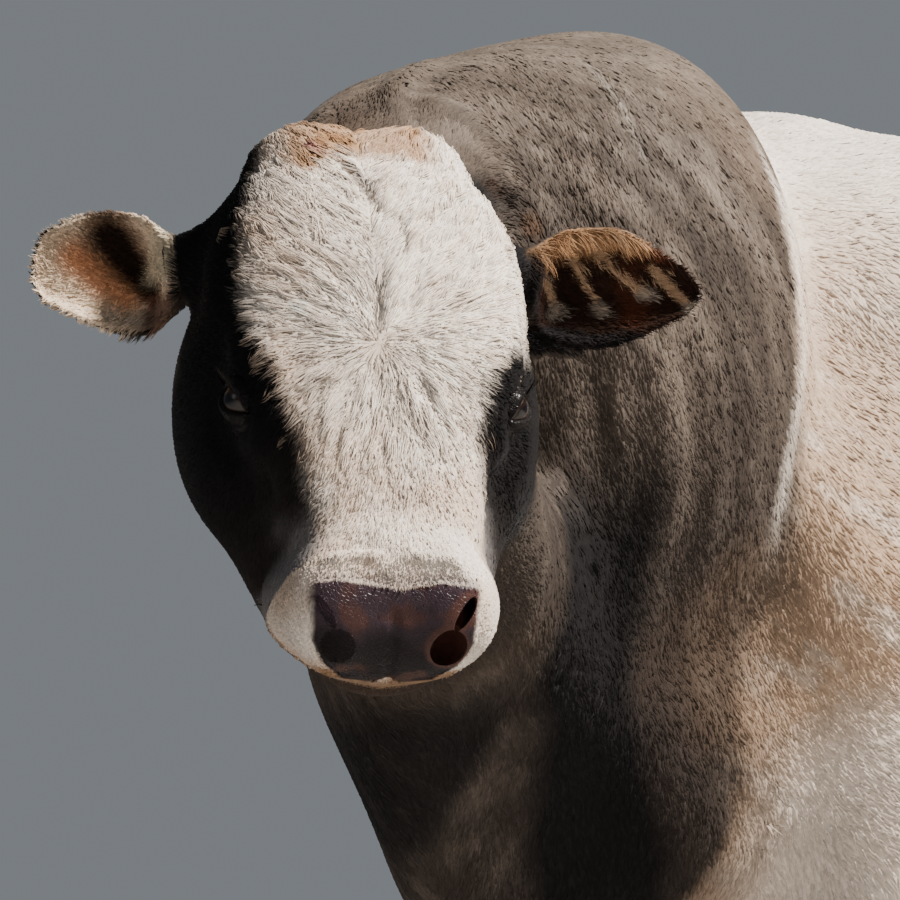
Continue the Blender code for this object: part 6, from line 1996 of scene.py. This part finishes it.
def whole_skin():
    body = Body()
    for add in (
        add_trunk, add_muscles, add_forelegs, add_hindlegs, add_neck, add_head, add_face_details,
        add_tail, add_grooves, add_folds,
    ):
        add(body)
    lay_grooves(body)
    # the solids' shallow nostrils give way to the deep ones that are cut below
    body.hollows = [hole for hole in body.hollows if in_head(hole.centre[None])[0, 0] < 0.45]
    skin = skin_object(body)
    parts = [lid("lid", side, upper) for side in (1, -1) for upper in (True, False)]
    parts += [loft("ear", ear_rings(side)) for side in (1, -1)]
    combined(skin, parts, "UNION", "MANIFOLD")
    combined(skin, nostril_cutters(), "DIFFERENCE", "MANIFOLD")
    points = points_of(skin.data)
    flat = np.empty(len(points) * 3, np.float32)
    skin.data.vertices.foreach_get("normal", flat)
    put_colours(skin.data, markings(points, flat.reshape(-1, 3).astype(float)))
    put_values(skin.data, "bare", bare(points) * (1 - pits(points)[0]))
    put_points(skin.data, points + SHIFT)
    skin.data.polygons.foreach_set("use_smooth", np.full(len(skin.data.polygons), True))
    return skin


def unwrapped(made):
    """A UV map named OFBake on the skin's own shape."""
    bpy.context.view_layer.objects.active = made
    made.select_set(True)
    while made.data.uv_layers:
        made.data.uv_layers.remove(made.data.uv_layers[0])
    made.data.uv_layers.new(name="OFBake")
    bpy.ops.object.mode_set(mode="EDIT")
    bpy.ops.mesh.select_all(action="SELECT")
    bpy.ops.uv.smart_project(angle_limit=math.radians(66), island_margin=0.002)
    bpy.ops.object.mode_set(mode="OBJECT")
    made.select_set(False)


# The photo is 900 pixels wide. Its horizon lies 420 pixels below its middle, and the lens reaches
# 3616 pixels.
IMAGE_PIXELS = 900
HORIZON_PIXELS = 420
LENS_PIXELS = 3616
SENSOR = 36.0
CAMERA_PLACE = (2.7086, -3.1855, 0.625)
CAMERA_TURN = math.radians(48)
CAMERA_PITCH = math.atan2(HORIZON_PIXELS, LENS_PIXELS)


def add_camera():
    data = bpy.data.cameras.new("camera")
    data.sensor_width = SENSOR
    data.lens = SENSOR * LENS_PIXELS / IMAGE_PIXELS / math.cos(CAMERA_PITCH)
    camera = bpy.data.objects.new("camera", data)
    camera.location = CAMERA_PLACE
    camera.rotation_euler = (math.pi / 2 + CAMERA_PITCH, 0, CAMERA_TURN)
    bpy.context.scene.collection.objects.link(camera)
    bpy.context.scene.camera = camera


def area_light(name, place, target, size, power, colour):
    data = bpy.data.lights.new(name, "AREA")
    data.shape = "DISK"
    data.size = size
    data.energy = power
    data.color = colour
    lamp = bpy.data.objects.new(name, data)
    lamp.location = place
    way = Vector(target) - Vector(place)
    lamp.rotation_euler = way.to_track_quat("-Z", "Y").to_euler()
    bpy.context.scene.collection.objects.link(lamp)


FLOOR_REACH = 30.0
FLOOR_COLOUR = (0.52, 0.51, 0.50, 1)
SKY = (0.80, 0.86, 0.93, 1)
SKY_LIGHT = 0.11
SKY_SEEN = 0.24
# name, place, target, size, power in watts, colour
LIGHTS = (
    ("key", (4.1, 0.9, 5.5), (0.3, -1.1, 1.1), 1.1, 1150, (1.0, 0.955, 0.89)),
    ("fill", (0.6, -5.5, 2.6), (0.1, -0.6, 1.1), 2.6, 18, (0.80, 0.90, 1.0)),
)


def add_studio():
    material, tree, surface = new_material("floor")
    surface.inputs["Base Color"].default_value = FLOOR_COLOUR
    surface.inputs["Roughness"].default_value = 0.9
    size = FLOOR_REACH
    points = [(-size, -size, 0), (size, -size, 0), (size, size, 0), (-size, size, 0)]
    floor = mesh_object("floor", points, [(0, 1, 2, 3)])
    floor.data.materials.append(material)
    world = bpy.data.worlds.new("world")
    world.use_nodes = True
    tree = world.node_tree
    back = tree.nodes["Background"]
    back.inputs["Color"].default_value = SKY
    back.inputs["Strength"].default_value = SKY_LIGHT
    seen = added(tree, "ShaderNodeBackground", Color=SKY, Strength=SKY_SEEN)
    path = tree.nodes.new("ShaderNodeLightPath")
    both = tree.nodes.new("ShaderNodeMixShader")
    tree.links.new(path.outputs["Is Camera Ray"], both.inputs[0])
    tree.links.new(back.outputs[0], both.inputs[1])
    tree.links.new(seen.outputs[0], both.inputs[2])
    tree.links.new(both.outputs[0], tree.nodes["World Output"].inputs["Surface"])
    bpy.context.scene.world = world
    for light in LIGHTS:
        area_light(*light)


def show(made, material, slot, *nodes):
    made.data.materials.clear()
    made.data.materials.append(material)
    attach(made, "root")
    if nodes:
        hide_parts(*nodes)


skin = whole_skin()
unwrapped(skin)
roots = Roots(skin)
show(
    skin, skin_material(), "coat", "head", "neck", "torso", "tail", "foreleg_left", "foreleg_right",
    "hindleg_left", "hindleg_right", "ear_left", "ear_right",
)
hair = hair_material("coat")
for piece in short_coat(roots):
    show(piece, hair, "coat")


show(forehead_hair(roots), hair, "coat")
for piece in ear_hair(roots):
    show(piece, hair, "ear_coat")


show(lashes(), hair, "coat")
show(tail_brush(), hair_material("switch", 0.5, 0.0), "switch", "tail_switch")
horn = horn_material()
for place, foot in FEET.items():
    for inner, word in ((True, "inner"), (False, "outer")):
        node = f"claw_{place}_{word}"
        show(claw("hoof_" + node[5:], foot, inner), horn, "horn", node)


eye = eye_material()
show(eyeball(1), eye, "eye", "eye_left")
show(eyeball(-1), eye, "eye", "eye_right")

add_camera()
add_studio()
bpy.context.view_layer.update()
